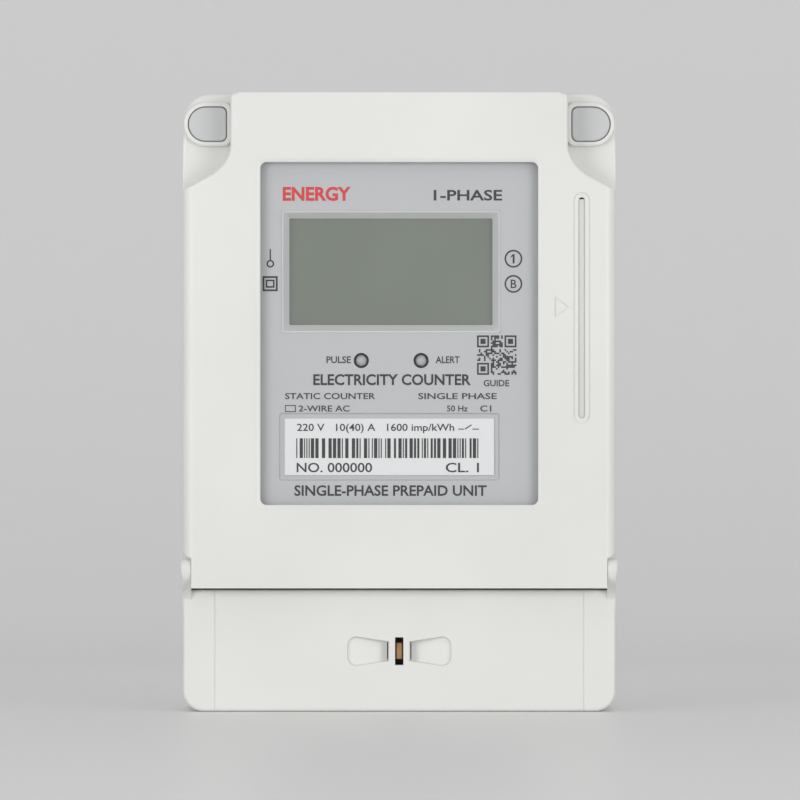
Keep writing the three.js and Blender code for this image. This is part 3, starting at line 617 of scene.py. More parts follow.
# ---- the finishes of this meter -------------------------------------------------------
CASE = Moulded("white_moulded_abs", "EAEAE7", "E4E4E1")
CAP = Moulded("grey_moulded_abs", "CFD0D0", "C9CACB", roughness=0.5)
FLAP = Moulded("soft_grey_elastomer", "DCDCD8", "D6D6D2", roughness=0.6, grain_mm=0.5)
SEAL_BRASS = Metal("rose_brass", "F6D2A6", "E4B07C", roughness=0.5)
BLOCK = Moulded("black_phenolic", "2B2B2D", "1F1F21", roughness=0.5)
CHIP = Moulded("black_epoxy", "232326", "18181A", roughness=0.45, grain_mm=0.2)
PLATE = Printed("printed_grey_plate", "C1C3C5", "BCBEC0")
# The screen bezel's finish is the plate grey made lighter: painted light, standing in for the light on the
# bezel's sloping sides.
BEZEL = Printed("plate_grey_lit_copy", "D9DADB", "D4D5D6")
LABEL = Printed("white_label_stock", "E8E9EA", "E2E3E4")
INK = Printed("black_ink", "2C2C2F", "242427", tooth_mm=0.2)
RED_INK = Printed("red_ink", "D8383C", "CF2F34", tooth_mm=0.2)
GLASS = Glossy("olive_display_glass", "7A8277", "757D73", roughness=0.12, pattern_mm=30, coat=0.5)
BACKLIGHT = Moulded("white_light_guide", "F0F1EC", "E8E9E4", roughness=0.3)
LAMP = Clear("clear_epoxy", "EDF1F0", 0.55, roughness=0.08, ior=1.5)
WINDOW = Clear("polycarbonate_window", "F4F7F7", 0.02, roughness=0.03)
BOARD = Glossy("green_solder_mask", "22603F", "1A4E33", pattern_mm=6)
SLEEVE = Glossy("blue_sleeve", "2E52A8", "24438F", pattern_mm=5)
TAPE = Glossy("amber_tape", "D9A63F", "C18D2C", pattern_mm=3)
BRASS = Metal("turned_brass", "C9A35A", "A98443", roughness=0.28)
COPPER = Metal("rolled_copper", "C98660", "A9684A", roughness=0.32)
ZINC = Metal("zinc_plated_steel", "C9CCD0", "A9ADB3", roughness=0.34)


CABLE_SLOT = (21.4, 32.6)


# ---- sub-assemblies -------------------------------------------------------------------
@dataclass
class CornerCap:
    """The D-shaped outline shared by a seal cap, its pocket and its boss."""

    side: int
    length: float = 9.6
    radius: float = 4.3
    corner: float = 1.5
    from_top: float = 8.0
    from_side: float = 6.35

    def outline(self, grow: float = 0.0) -> list[Point]:
        """Returns the outline, larger all round by grow."""
        x0, x1, _, _, _, top = span("rear_case")
        middle = (x1 - x0) / 2 - self.from_side
        z = top - self.from_top
        radius, corner = self.radius + grow, self.corner + grow / 2
        outer = middle + self.length / 2 + grow - radius
        inner = middle - self.length / 2 - grow
        points = arc((outer, z), radius, -90, 90, 24)
        points += arc((inner + corner, z + radius - corner), corner, 90, 180, 6)
        points += arc((inner + corner, z - radius + corner), corner, 180, 270, 6)
        return flip(points, self.side)

    def build(self) -> None:
        """Models the grey cap with softly rounded edges."""
        name = "seal_cap_left" if self.side < 0 else "seal_cap_right"
        _, _, back, front, _, _ = span(name)
        cap = prism("cap", self.outline(0.12), back, front)
        soften(cap, 0.45, 4, on_depth(front))
        hand_over(cap, f"{name}_moulding", "meter", CAP, "cap_grey", name)


@dataclass
class FrontCover:
    """The white front shell: raised middle, low corners, window, card slot and bosses."""

    wall: float = 2.2
    face: float = 2.4
    neck: float = 43.6
    shoulder: float = 25.4
    corner_drop: float = 11.5
    boss_rise: float = 2.0
    top_radius: float = 7.3
    side_round: float = 3.0
    top_round: float = 1.2
    neck_round: float = 1.0
    window_width: float = 71.7
    window_low: float = 53.5
    window_height: float = 88.5
    window_rim: float = 1.35
    slot_x: float = 47.1
    slot_low: float = 75.9
    slot_length: float = 57.0
    slot_width: float = 1.7
    slot_rim: float = 1.3
    split: float = 32.0
    hinge_rise: float = 5.0
    ear_inner: float = 53.8
    ear_radius: float = 3.0
    post: float = 5.0
    shade_sheet_inset: float = 3.0
    flap_sink: float = 1.1
    flap_gap: float = 0.45
    dish_sink: float = 0.55
    arrow: tuple[Point, ...] = ((40.1, 101.7), (43.9, 104.5), (40.1, 107.4))
    arrow_core: tuple[Point, ...] = ((40.4, 102.3), (43.35, 104.5), (40.4, 106.8))
    tab_screw: Place = (48.2, 26, 1.55)

    def __post_init__(self) -> None:
        """Reads the cover's outer sizes from the frame."""
        self.left, self.right, self.back, self.front, _, self.top = span("front_cover")
        self.back = span("rear_case")[3] + 0.3
        self.low_face = self.front - self.corner_drop
        self.hinge_z = self.split + self.hinge_rise

    def raised(self, inset: float, beyond: float, low: float) -> list[Point]:
        """Returns the raised front's outline.

        Args:
            inset: how far inside the outer surface it runs.
            beyond: how far its sides and top reach past the cover, to be trimmed.
            low: its lower edge.

        Returns:
            The outline, anticlockwise from the lower left.
        """
        side = self.right - inset + beyond
        neck = self.neck - inset
        top = self.top - inset
        shoulder = top - self.shoulder - inset * 0.15
        bend = neck + (self.right - self.neck) * 0.44
        drop = 3.9 * beyond / (self.right - inset - bend)
        right = [(side, low), (side, shoulder - drop)]
        right += sweep((bend, shoulder + 3.9), (bend - 3.2, shoulder + 5.7),
                       (neck + 0.1, shoulder + 8.6), (neck, shoulder + 11.6))
        right += [(neck, top - 0.9), (neck - 0.5, top - 0.3), (neck - 1.7, top)]
        if beyond:
            right += [(neck - 1.7, top + beyond)]
        return right + [(-x, z) for x, z in reversed(right)]

    def shell(self) -> Piece:
        """Returns the hollow shell with its raised front and low corners."""
        block = prism("raised", self.raised(0, 1.5, self.split), self.back + 8, self.front)
        face, low, wide = on_depth(self.front), BASE + (self.split + 1) * MM, (self.right + 2) * MM
        soften(block, self.neck_round, 4, lambda a, b: face(a, b) and min(a.z, b.z) > low
               and max(abs(a.x), abs(b.x)) < wide)
        envelope = brick("envelope", (self.left, self.right), (0, self.front), (self.split - 20, self.top))
        soften(envelope, self.side_round, 8, runs("z", self.front))
        soften(envelope, self.top_round, 5, runs("x", self.front, self.top / 2))
        combine(block, Join.KEEP, envelope)
        full = prism("full",
                     rounded((self.left, self.right), (self.split, self.top), self.top_radius, 0, 16),
                     self.back, self.low_face)
        corners = on_depth(self.low_face)
        soften(full, 1.1, 4, lambda a, b: corners(a, b) and min(a.z, b.z) > low)
        bosses = []
        for side in (-1, 1):
            boss = prism("boss", CornerCap(side).outline(1.5), self.back + 4,
                         self.low_face + self.boss_rise)
            soften(boss, 0.7, 4, on_depth(self.low_face + self.boss_rise))
            bosses.append(boss)
        add(block, full, *bosses)
        hollow = prism("hollow", self.raised(self.wall, 0, self.split + self.wall), self.back - 1,
                       self.front - self.face)
        side = self.right - self.wall
        inside = rounded((-side, side), (self.split + self.wall, self.top - self.wall), 5, 0)
        lower = prism("hollow_low", inside, self.back - 1, self.low_face - self.wall)
        return cut(block, hollow, lower)

    def fittings(self, shell: Piece) -> None:
        """Adds the screw posts, the hinge pads and the two lower tabs inside."""
        for side in (-1, 1):
            cap = CornerCap(side)
            x, z = side * (self.right - cap.from_side), self.top - cap.from_top
            length = self.low_face - 1 - self.back
            add(shell, rod("post", at(x, self.back + length / 2, z), self.post, length))
            pad = brick("pad", ordered(side * (self.ear_inner - 3), side * (self.right - 1)),
                        (self.front - 12, self.front - 1), (self.split, self.hinge_z + self.ear_radius + 4))
            tab = brick("tab", ordered(side * 43, side * (self.right - self.wall - 0.5)),
                        (self.back, self.back + 2.5), (21, self.split + self.wall))
            low = BASE + 22 * MM
            soften(tab, 2, 4, lambda a, b: abs(a.y - b.y) > 2 * MM and max(a.z, b.z) < low)
            add(shell, pad, tab)

    def gap_shade_sheet(self) -> None:
        """Puts a black strip inside the lower edge, behind the gap above the terminal cover: painted shade,
        a dark sheet standing in for the shadow in the closed gap.
        """
        half = self.ear_inner - self.shade_sheet_inset
        strip = brick("strip", (-half, half), (self.front - 14.2, self.front - 11.4),
                      (self.split - 1.1, self.split - 0.02))
        soften(strip, 0.3, 3, lambda a, b: abs(a.z - b.z) < NEAR and a.z < BASE + (self.split - 1) * MM)
        # The strip takes the black chip finish: painted shade, so the gap reads dark.
        hand_over(strip, "cover_gap_painted_shade", "meter", CHIP, "chip_black")

    def window(self, shell: Piece) -> None:
        """Cuts the window with its sloping rim."""
        half = self.window_width / 2
        high = self.window_low + self.window_height
        outline = rounded((-half, half), (self.window_low, high), 1.6, 1.6, 8)
        cut(shell, prism("opening", outline, self.front - 8, self.front + 1))
        rim = prism("rim", outline, self.front - 0.75, self.front + 0.05)
        flare(rim, self.front + 0.05, (0, (self.window_low + high) / 2),
              (self.window_width, self.window_height),
              self.window_rim)
        cut(shell, rim)

    def card_slot(self, shell: Piece) -> None:
        """Cuts the card slot with its dished rim, and engraves the arrow beside it."""
        half = self.slot_width / 2
        x = (self.slot_x - half, self.slot_x + half)
        z = (self.slot_low, self.slot_low + self.slot_length)
        cut(shell, prism("slot", rounded(x, z, half, half, 12), self.front - 8, self.front + 1))
        wide = half + self.slot_rim
        dish = rounded((self.slot_x - wide, self.slot_x + wide),
                       (z[0] - self.slot_rim, z[1] + self.slot_rim),
                       wide, wide, 16)
        cutter = prism("dish", dish, self.front - self.dish_sink, self.front + 0.6)
        soften(cutter, 0.5, 3, on_depth(self.front - self.dish_sink))
        cut(shell, cutter)
        groove = prism("arrow", self.arrow, self.front - 0.25, self.front + 0.5)
        cut(groove, prism("arrow_core", self.arrow_core, self.front - 1, self.front + 1))
        cut(shell, groove)

    def slot_flap(self) -> None:
        """Models the soft flap that keeps dust out of the card slot; a card would fold it in, but here it
        is fixed to the meter.
        """
        half = self.slot_width / 2 - 0.02
        x = (self.slot_x - half, self.slot_x + half)
        z = (self.slot_low + 0.04, self.slot_low + self.slot_length - self.flap_gap)
        face = self.front - self.flap_sink
        flap = prism("flap", rounded(x, z, 0.1, half - 0.01, 8), face - 0.5, face)
        soften(flap, 0.12, 3, on_depth(face))
        hand_over(flap, "card_slot_flap", "meter", FLAP, "case_plastic")

    def openings(self, shell: Piece) -> None:
        """Cuts the pockets, the hinge recesses and bearings, and the notch over the terminals."""
        block = span("terminal_block")
        cut(shell,
            brick("notch", (block[0] - 0.3, block[1] + 0.3), (self.back - 1, block[3] + 0.3),
                  (self.split - 1, self.split + self.wall + 1)))
        for side in (-1, 1):
            cap = CornerCap(side)
            x, z = side * (self.right - cap.from_side), self.top - cap.from_top
            floor = span("seal_cap_left")[2] - 0.3
            pocket = prism("pocket", cap.outline(0.3), floor, self.front)
            bore = rod("bore", at(x, floor - 8, z), 3.1, 2 * (floor - 8 - self.back - 4))
            inner, roof = self.ear_inner - 0.1, self.hinge_z + self.ear_radius - 0.1
            slope = sweep((self.right + 2, roof + 3.6), (self.right + 0.2, roof + 2.2),
                          (inner + 1.4, roof + 0.2),
                          (inner, roof))
            low = [(inner, self.split - 1), (self.right + 2, self.split - 1)]
            recess = prism("recess", flip(low + slope, side), self.front - 10, self.front + 1)
            bearing = rod("bearing",
                          at(side * (self.ear_inner - 1.5), self.front - self.ear_radius, self.hinge_z),
                          1.6, 5, "x", 24)
            across, height, radius = self.tab_screw
            screw = rod("screw_hole", at(side * across, self.back + 1, height), radius, 8, sides=20)
            cut(shell, pocket, bore, recess, bearing, screw)

    def build(self) -> None:
        """Models the cover and hands it over."""
        shell = self.shell()
        self.fittings(shell)
        self.window(shell)
        self.card_slot(shell)
        self.openings(shell)
        hand_over(shell, "front_cover_shell", "meter", CASE, "case_plastic", "front_cover")
        self.slot_flap()
        self.gap_shade_sheet()


@dataclass
class TerminalCover:
    """The hinged cover over the terminals: finger scoops, a slit and a tube for the seal screw."""

    height: float = 31.5
    wall: float = 2.2
    step: float = 0.4
    panel: float = 47.6
    corner: float = 5.4
    edge_round: float = 0.9
    panel_round: float = 0.36
    seal_z: float = 15.6
    chamber_depth: float = 3.9
    chamber: float = 4.5
    tube: float = 6.5
    slit: Point = (2.15, 7.2)
    scoop_from: float = 2.6
    scoop_to: float = 13.5
    scoop_depth: float = 4.35
    scoop_sides: Place = (3.85, 2.55, 2.4)
    ear_inner: float = 53.8
    ear_radius: float = 3.0
    pivot: Point = (1.2, 1.8)

    def __post_init__(self) -> None:
        """Reads the cover's outer sizes and its hinge's place from the frame."""
        _, self.side, _, face, _, _ = span("front_cover")
        self.ear_side = span("terminal_cover")[1]
        self.back = span("rear_case")[3] + 0.3
        self.front = face - 8.5
        self.hinge = (face - self.ear_radius, self.height + 0.5 + 5)
        self.chamber_front = self.front - self.chamber_depth
        self.tube_back = self.chamber_front - self.chamber - 4 - 3.6

    def shell(self) -> Piece:
        """Returns the tray with its raised middle panel and rounded rim."""
        sunk = self.front - self.step
        body = prism("tray", rounded((-self.side, self.side), (0, self.height), 0, self.corner, 14),
                     self.back, sunk)
        soften(body, self.edge_round, 5, on_depth(sunk))
        panel = brick("panel", (-self.panel, self.panel), (self.back + 1, self.front),
                      (0.02, self.height - 0.02))
        soften(panel, self.edge_round, 5, runs("x", self.front))
        soften(panel, self.panel_round, 4, runs("z", self.front))
        add(body, panel)
        side = self.side - self.wall
        inside = rounded((-side, side), (self.wall, self.height + 1), 0, self.corner - self.wall)
        return cut(body, prism("inside", inside, self.back - 1, self.front - self.wall))

    def ear(self, side: int) -> Piece:
        """Returns a hinge ear: an arm that grows out of the cover's side, a round head and a stub axle."""
        sunk = self.front - self.step
        depth, z = self.hinge
        head = self.ear_radius - 0.4
        profile = [(sunk - 12, self.height - 6), (sunk - 0.6, self.height - 6)]
        profile += sweep((sunk - 0.5, self.height - 4.5), (sunk - 0.3, self.height + 0.8),
                         (depth + head + 0.1, z - 5), (depth + head, z - 0.5))
        profile += arc((depth, z), head, 0, 162, 18)
        profile += [(sunk - 2, self.height - 1), (sunk - 12, self.height - 1)]
        arms = ordered(side * self.ear_inner, side * (self.side - 0.02))
        arm = trace("ear", [at(arms[0], d, h) for d, h in profile],
                    Vector(((arms[1] - arms[0]) * MM, 0, 0)))
        radius, length = self.pivot
        disc_x = side * (self.ear_inner + self.ear_side) / 2
        disc = rod("disc", at(disc_x, depth, z), head + 0.02, self.ear_side - self.ear_inner - 0.02, "x",
                   48)
        soften(disc, 0.5, 4, lambda a, b: abs(a.x - b.x) < 1e-7 and abs(a.x) > self.side * MM)
        axle = rod("axle", at(side * (self.ear_inner - length / 2 + 0.4), depth, z), radius, length + 0.8,
                   "x", 24)
        soften(axle, 0.25, 3, lambda a, b: abs(a.x - b.x) < 1e-7 and abs(a.x) < (self.ear_inner - 1) * MM)
        return add(arm, disc, axle)

    def scoop(self, side: int) -> Piece:
        """Returns the cutter for one finger scoop, which deepens towards the slit."""
        wide, narrow, radius = self.scoop_sides
        outline = [(self.scoop_from, self.seal_z - narrow)]
        outline += arc((self.scoop_to - radius, self.seal_z - wide + radius), radius, -90, 0, 8)
        outline += arc((self.scoop_to - radius, self.seal_z + wide - radius), radius, 0, 90, 8)
        outline += [(self.scoop_from, self.seal_z + narrow)]
        column = prism("scoop", flip(outline, side), self.front - self.scoop_depth - 1, self.front + 1)
        floor = [(self.scoop_from - 1, self.front - self.scoop_depth),
                 (self.scoop_to + 1, self.front - 0.6),
                 (self.scoop_to + 1, self.front + 2), (self.scoop_from - 1, self.front + 2)]
        wedge = trace("wedge", [at(side * x, d, self.seal_z - 6) for x, d in floor],
                      Vector((0, 0, 12 * MM)))
        cutter = combine(column, Join.KEEP, wedge)
        sharp = (self.front + 0.5) * -MM
        return soften(cutter, 0.5, 3, lambda a, b: a.y > sharp and b.y > sharp)

    def build(self) -> None:
        """Models the cover and hands it over."""
        body = self.shell()
        z = self.seal_z
        reach = self.scoop_to + 2
        pad = brick("pad", (-reach, reach), (self.front - self.scoop_depth - 4.1, self.front - 1),
                    (z - 6, z + 6))
        middle = (self.tube_back + self.front - 1) / 2
        tube = rod("tube", at(0, middle, z), self.tube, self.front - 1 - self.tube_back)
        add(body, pad, tube, self.ear(-1), self.ear(1))
        hollow = (self.tube_back + 1, self.chamber_front)
        chamber = rod("chamber", at(0, sum(hollow) / 2, z), self.chamber, hollow[1] - hollow[0])
        throat = rod("throat", at(0, self.tube_back, z), 2.3, 6, sides=24)
        width, tall = self.slit
        slit = brick("slit", (-width / 2, width / 2), (self.chamber_front - 1, self.front + 9),
                     (z - tall / 2, z + tall / 2))
        wire = brick("wire_hole", (-3.2, 3.2), (self.chamber_front - 3, self.chamber_front - 0.6),
                     (z - 1.7, z + 1.7))
        terminals = [span(f"terminal_{k}") for k in (1, 4)]
        reach = max(abs(terminals[0][0]), abs(terminals[1][1])) - 0.4
        cables = brick("cables", (-reach, reach), CABLE_SLOT, (-1, self.wall + 0.5))
        cut(body, chamber, throat, slit, wire, self.scoop(-1), self.scoop(1), cables)
        hand_over(body, "terminal_cover_shell", "terminal_cover", CASE, "case_plastic", "terminal_cover")


@dataclass
class RearCase:
    """The white rear tub, with a hook pocket in its back, posts and partitions."""

    back: float = 2.6
    wall: float = 2.2
    top_radius: float = 7.3
    bottom_radius: float = 5.4
    split: float = 32.0
    post: float = 4.2
    pocket_half: float = 9.1
    mouth_half: float = 6.5
    pocket_low: float = 129.7

    def build(self) -> None:
        """Models the case with a softened rim round its back."""
        left, right, _, front, _, top = span("rear_case")
        body = prism("tub", rounded((left, right), (0, top), self.top_radius, self.bottom_radius, 14), 0,
                     front)
        soften(body, 1.2, 4, on_depth(0))
        soften(body, 0.3, 2, on_depth(front))
        side = right - self.wall
        inside = rounded((-side, side), (self.wall, top - self.wall), self.top_radius - self.wall,
                         self.bottom_radius - self.wall)
        cut(body, prism("inside", inside, self.back, front + 1))
        hook = self.pocket_half + self.wall
        block = span("terminal_block")
        pad = brick("pad", (-hook, hook), (0.5, 5), (self.pocket_low - self.wall, top - 1.3))
        add(body, pad)
        cap = CornerCap(1)
        screws = ((right - cap.from_side, top - cap.from_top, self.post), (48.2, 26, self.post - 0.6))
        for sign in (-1, 1):
            floor = brick("partition", ordered(sign * (block[1] + 0.3), sign * (right - 1.1)),
                          (self.back - 0.5, front), (self.split, self.split + self.wall))
            add(body, floor)
            for x, z, radius in screws:
                post = rod("post", at(sign * x, (front + self.back) / 2, z), radius, front - self.back)
                pilot = rod("pilot", at(sign * x, front, z), 1.55, front - 1, sides=20)
                add(body, post)
                cut(body, pilot)
            wall_hole = rod("wall_hole", at(sign * 48.2, 1, 10), 2.3, 8)
            cut(body, wall_hole)
        pocket = brick("pocket", (-self.pocket_half, self.pocket_half), (0.8, 2.8),
                       (self.pocket_low, top + 1))
        mouth = brick("mouth", (-self.mouth_half, self.mouth_half), (-1, 0.9), (self.pocket_low, top + 1))
        cables = brick("cables", (-37.6, 37.6), CABLE_SLOT, (-1, self.wall + 0.5))
        cut(body, pocket, mouth, cables)
        hand_over(body, "rear_case_tub", "meter", CASE, "case_plastic", "rear_case")


@dataclass
class DisplayPlate:
    """The grey plate behind the window, with its screen bezel, lamp holes and label recess."""

    bezel_side: float = 1.95
    bezel_gap: float = 0.03
    lamp_hole: float = 1.96
    label_rim: float = 1.1
    label_sink: float = 0.6
    lamps: tuple[str, str] = ("pulse_led", "alarm_led")

    def plate(self) -> None:
        """Models the plate with its openings and a softened recess for the label."""
        x0, x1, back, front, z0, z1 = span("nameplate")
        sheet = prism("sheet", rounded((x0, x1), (z0, z1), 1, 1, 4), back, front)
        bezel, label = span("lcd_bezel"), span("rating_label")
        gap = self.bezel_gap
        hole = brick("hole", (bezel[0] - gap, bezel[1] + gap), (back - 1, front + 1),
                     (bezel[4] - gap, bezel[5] + gap))
        rim = self.label_rim
        outline = rounded((label[0] - rim, label[1] + rim), (label[4] - rim, label[5] + rim), 0.6, 0.6, 5)
        recess = prism("recess", outline, front - self.label_sink, front + 0.02)
        flare(recess, front + 0.02, middle("rating_label"), (label[1] - label[0], label[5] - label[4]),
              0.35)
        cut(sheet, hole, recess)
        for node in self.lamps:
            x, z = middle(node)
            cut(sheet, rod("lamp_hole", at(x, (front + back) / 2, z), self.lamp_hole, 4, sides=48))
        soften(sheet, 0.12, 2, on_depth(front))
        hand_over(sheet, "nameplate_sheet", "meter", PLATE, "plate_grey", "nameplate")

    def bezel(self) -> None:
        """Models the screen's frame, whose sides slope back to the glass."""
        x0, x1, back, front, z0, z1 = span("lcd_bezel")
        rim = prism("frame", rounded((x0, x1), (z0, z1), 0.4, 0.4, 4), back, front)
        side = self.bezel_side
        inner = rounded((x0 + side, x1 - side), (z0 + side, z1 - side), 0.3, 0.3, 4)
        funnel = prism("funnel", inner, back - 0.02, front + 0.02)
        size = (x1 - x0 - 2 * side, z1 - z0 - 2 * side)
        flare(funnel, front + 0.02, middle("lcd_bezel"), size, side - 0.35)
        cut(rim, funnel)
        # The bezel gets the lightened copy of the plate grey: painted light on its sloping sides.
        hand_over(rim, "lcd_bezel_frame", "meter", BEZEL, "plate_grey", "lcd_bezel")

    def lamp(self, node: str) -> None:
        """Models one round lamp with a flange and a domed tip."""
        back, front = span(node)[2:4]
        x, z = middle(node)
        body = rod("lamp", at(x, (back + front) / 2, z), 1.5, front - back, sides=48)
        soften(body, 1.35, 8, on_depth(front))
        flange = rod("flange", at(x, back + 2.2, z), 1.8, 4.4, sides=48)
        soften(flange, 0.2, 3, on_depth(back + 4.4))
        add(body, flange)
        hand_over(body, f"{node}_lens", "meter", LAMP, "lamp_clear", node)

    def build(self) -> None:
        """Models the plate, the bezel and both lamps."""
        self.plate()
        self.bezel()
        for node in self.lamps:
            self.lamp(node)


def thread(stem: Piece, place: Place, count: int, radius: float, deep: float, wide: float,
           sides: int) -> None:
    """Cuts the grooves of a thread into a screw's shaft.

    Args:
        stem: the shaft.
        place: x, depth and z of its end.
        count: how many grooves.
        radius: the shaft's radius.
        deep: how deep the grooves go.
        wide: how wide they are.
        sides: faces round it.
    """
    x, back, z = place
    for k in range(count):
        centre = at(x, back + THREAD_START + THREAD_PITCH * k, z)
        groove = rod("groove", centre, radius + 0.2, wide, sides=sides)
        cut(stem, cut(groove, rod("core", centre, radius - deep, 0.6, sides=sides)))


@dataclass
class Screw:
    """A pan-head terminal screw with a real slot, a thread and an end chamfer."""

    node: str
    shank: float = 2.0
    head: float = 3.7
    head_length: float = 3.0

    def build(self) -> None:
        """Models the screw in the frame's place for it."""
        back, front = span(self.node)[2:4]
        x, z = middle(self.node)
        seat = front - self.head_length
        head = rod("head", at(x, (seat + front) / 2, z), self.head, self.head_length, sides=48)
        soften(head, 0.7, 5, on_depth(front))
        stem = rod("stem", at(x, (back + seat + 0.4) / 2, z), self.shank, seat + 0.4 - back, sides=32)
        soften(stem, 0.3, 2, on_depth(back))
        thread(stem, (x, back, z), int((seat - back - 1.2) / THREAD_PITCH), self.shank, 0.18, 0.22, 32)
        add(head, stem)
        deep = front - self.head_length * 0.45
        long = self.head + 1
        cut(head, brick("slot", (x - 0.5, x + 0.5), (deep, front + 1), (z - long, z + long)))
        hand_over(head, f"{self.node}_turned", self.node, ZINC, "zinc_steel", self.node)


@dataclass
class SealScrew:
    """The captive brass screw behind the slit: threaded shaft, collar, washer and pierced tang."""

    shaft: float = 1.9
    collar: float = 3.6
    collar_from: float = 53.3
    tang: Point = (1.7, 4.4)
    hole: float = 0.8
    grooves: int = 5
    washer: float = 0.5

    def build(self) -> None:
        """Models the screw as it stands when backed out, and its black washer."""
        back, front = span("seal_screw")[2:4]
        x, z = middle("seal_screw")
        collar_to = self.collar_from + 1
        disc = rod("collar", at(x, (self.collar_from + collar_to) / 2, z), self.collar, 1, sides=64)
        soften(disc, 0.2, 3, around("y"))
        stem = rod("shaft", at(x, (back + collar_to - 0.3) / 2, z), self.shaft, collar_to - 0.3 - back,
                   sides=40)
        soften(stem, 0.35, 3, on_depth(back))
        thread(stem, (x, back, z), self.grooves, self.shaft, 0.2, 0.25, 40)
        wide, tall = self.tang[0] / 2, self.tang[1] / 2
        blade = prism("tang", rounded((x - wide, x + wide), (z - tall, z + tall), 0.35, 0.35, 5),
                      collar_to - 0.5, front)
        soften(blade, 0.3, 4, on_depth(front))
        add(disc, stem, blade)
        cut(disc, rod("eye", at(x, (collar_to + front) / 2, z), self.hole, 4, "x", 32))
        hand_over(disc, "seal_screw_turned", "seal_screw", SEAL_BRASS, "brass", "seal_screw")
        washer = rod("washer", at(x, collar_to + 0.3, z), self.collar, self.washer, sides=64)
        soften(washer, 0.15, 3, on_depth(collar_to + 0.55))
        wide, tall = wide + 0.05, tall + 0.05
        cut(washer,
            brick("eye", (x - wide, x + wide), (collar_to - 1, collar_to + 2), (z - tall, z + tall)))
        hand_over(washer, "seal_screw_washer", "seal_screw", CHIP, "chip_black")


@dataclass
class HangingHook:
    """The flat zinc-plated hook that slides out of the case's back."""

    corner: float = 4.0
    hole: float = 3.2
    thick: float = 1.6

    def build(self) -> None:
        """Models the stamped plate with its rolled edges, hole and finger ridge."""
        x0, x1, _, front, z0, z1 = span("hanging_hook")
        plate = prism("plate", rounded((x0, x1), (z0, z1), self.corner, 1, 10), front - self.thick, front)
        hole = rod("hole", at((x0 + x1) / 2, front, z1 - 8), self.hole, 6, sides=64)
        cut(plate, hole)
        soften(plate, 0.25, 3, around("y"))
        ridge = brick("ridge", (-4, 4), (0.2, front - self.thick + 0.2), (z0 + 4, z0 + 5.5))
        soften(ridge, 0.25, 3, on_depth(0.2))
        add(plate, ridge)
        hand_over(plate, "hanging_hook_stamping", "hanging_hook", ZINC, "zinc_steel", "hanging_hook")


@dataclass(frozen=True)
class Line:
    """One line of print: its words and the box that its capitals fill, in millimetres."""

    words: str
    x: Point
    z: Point
    bold: float = 0.018


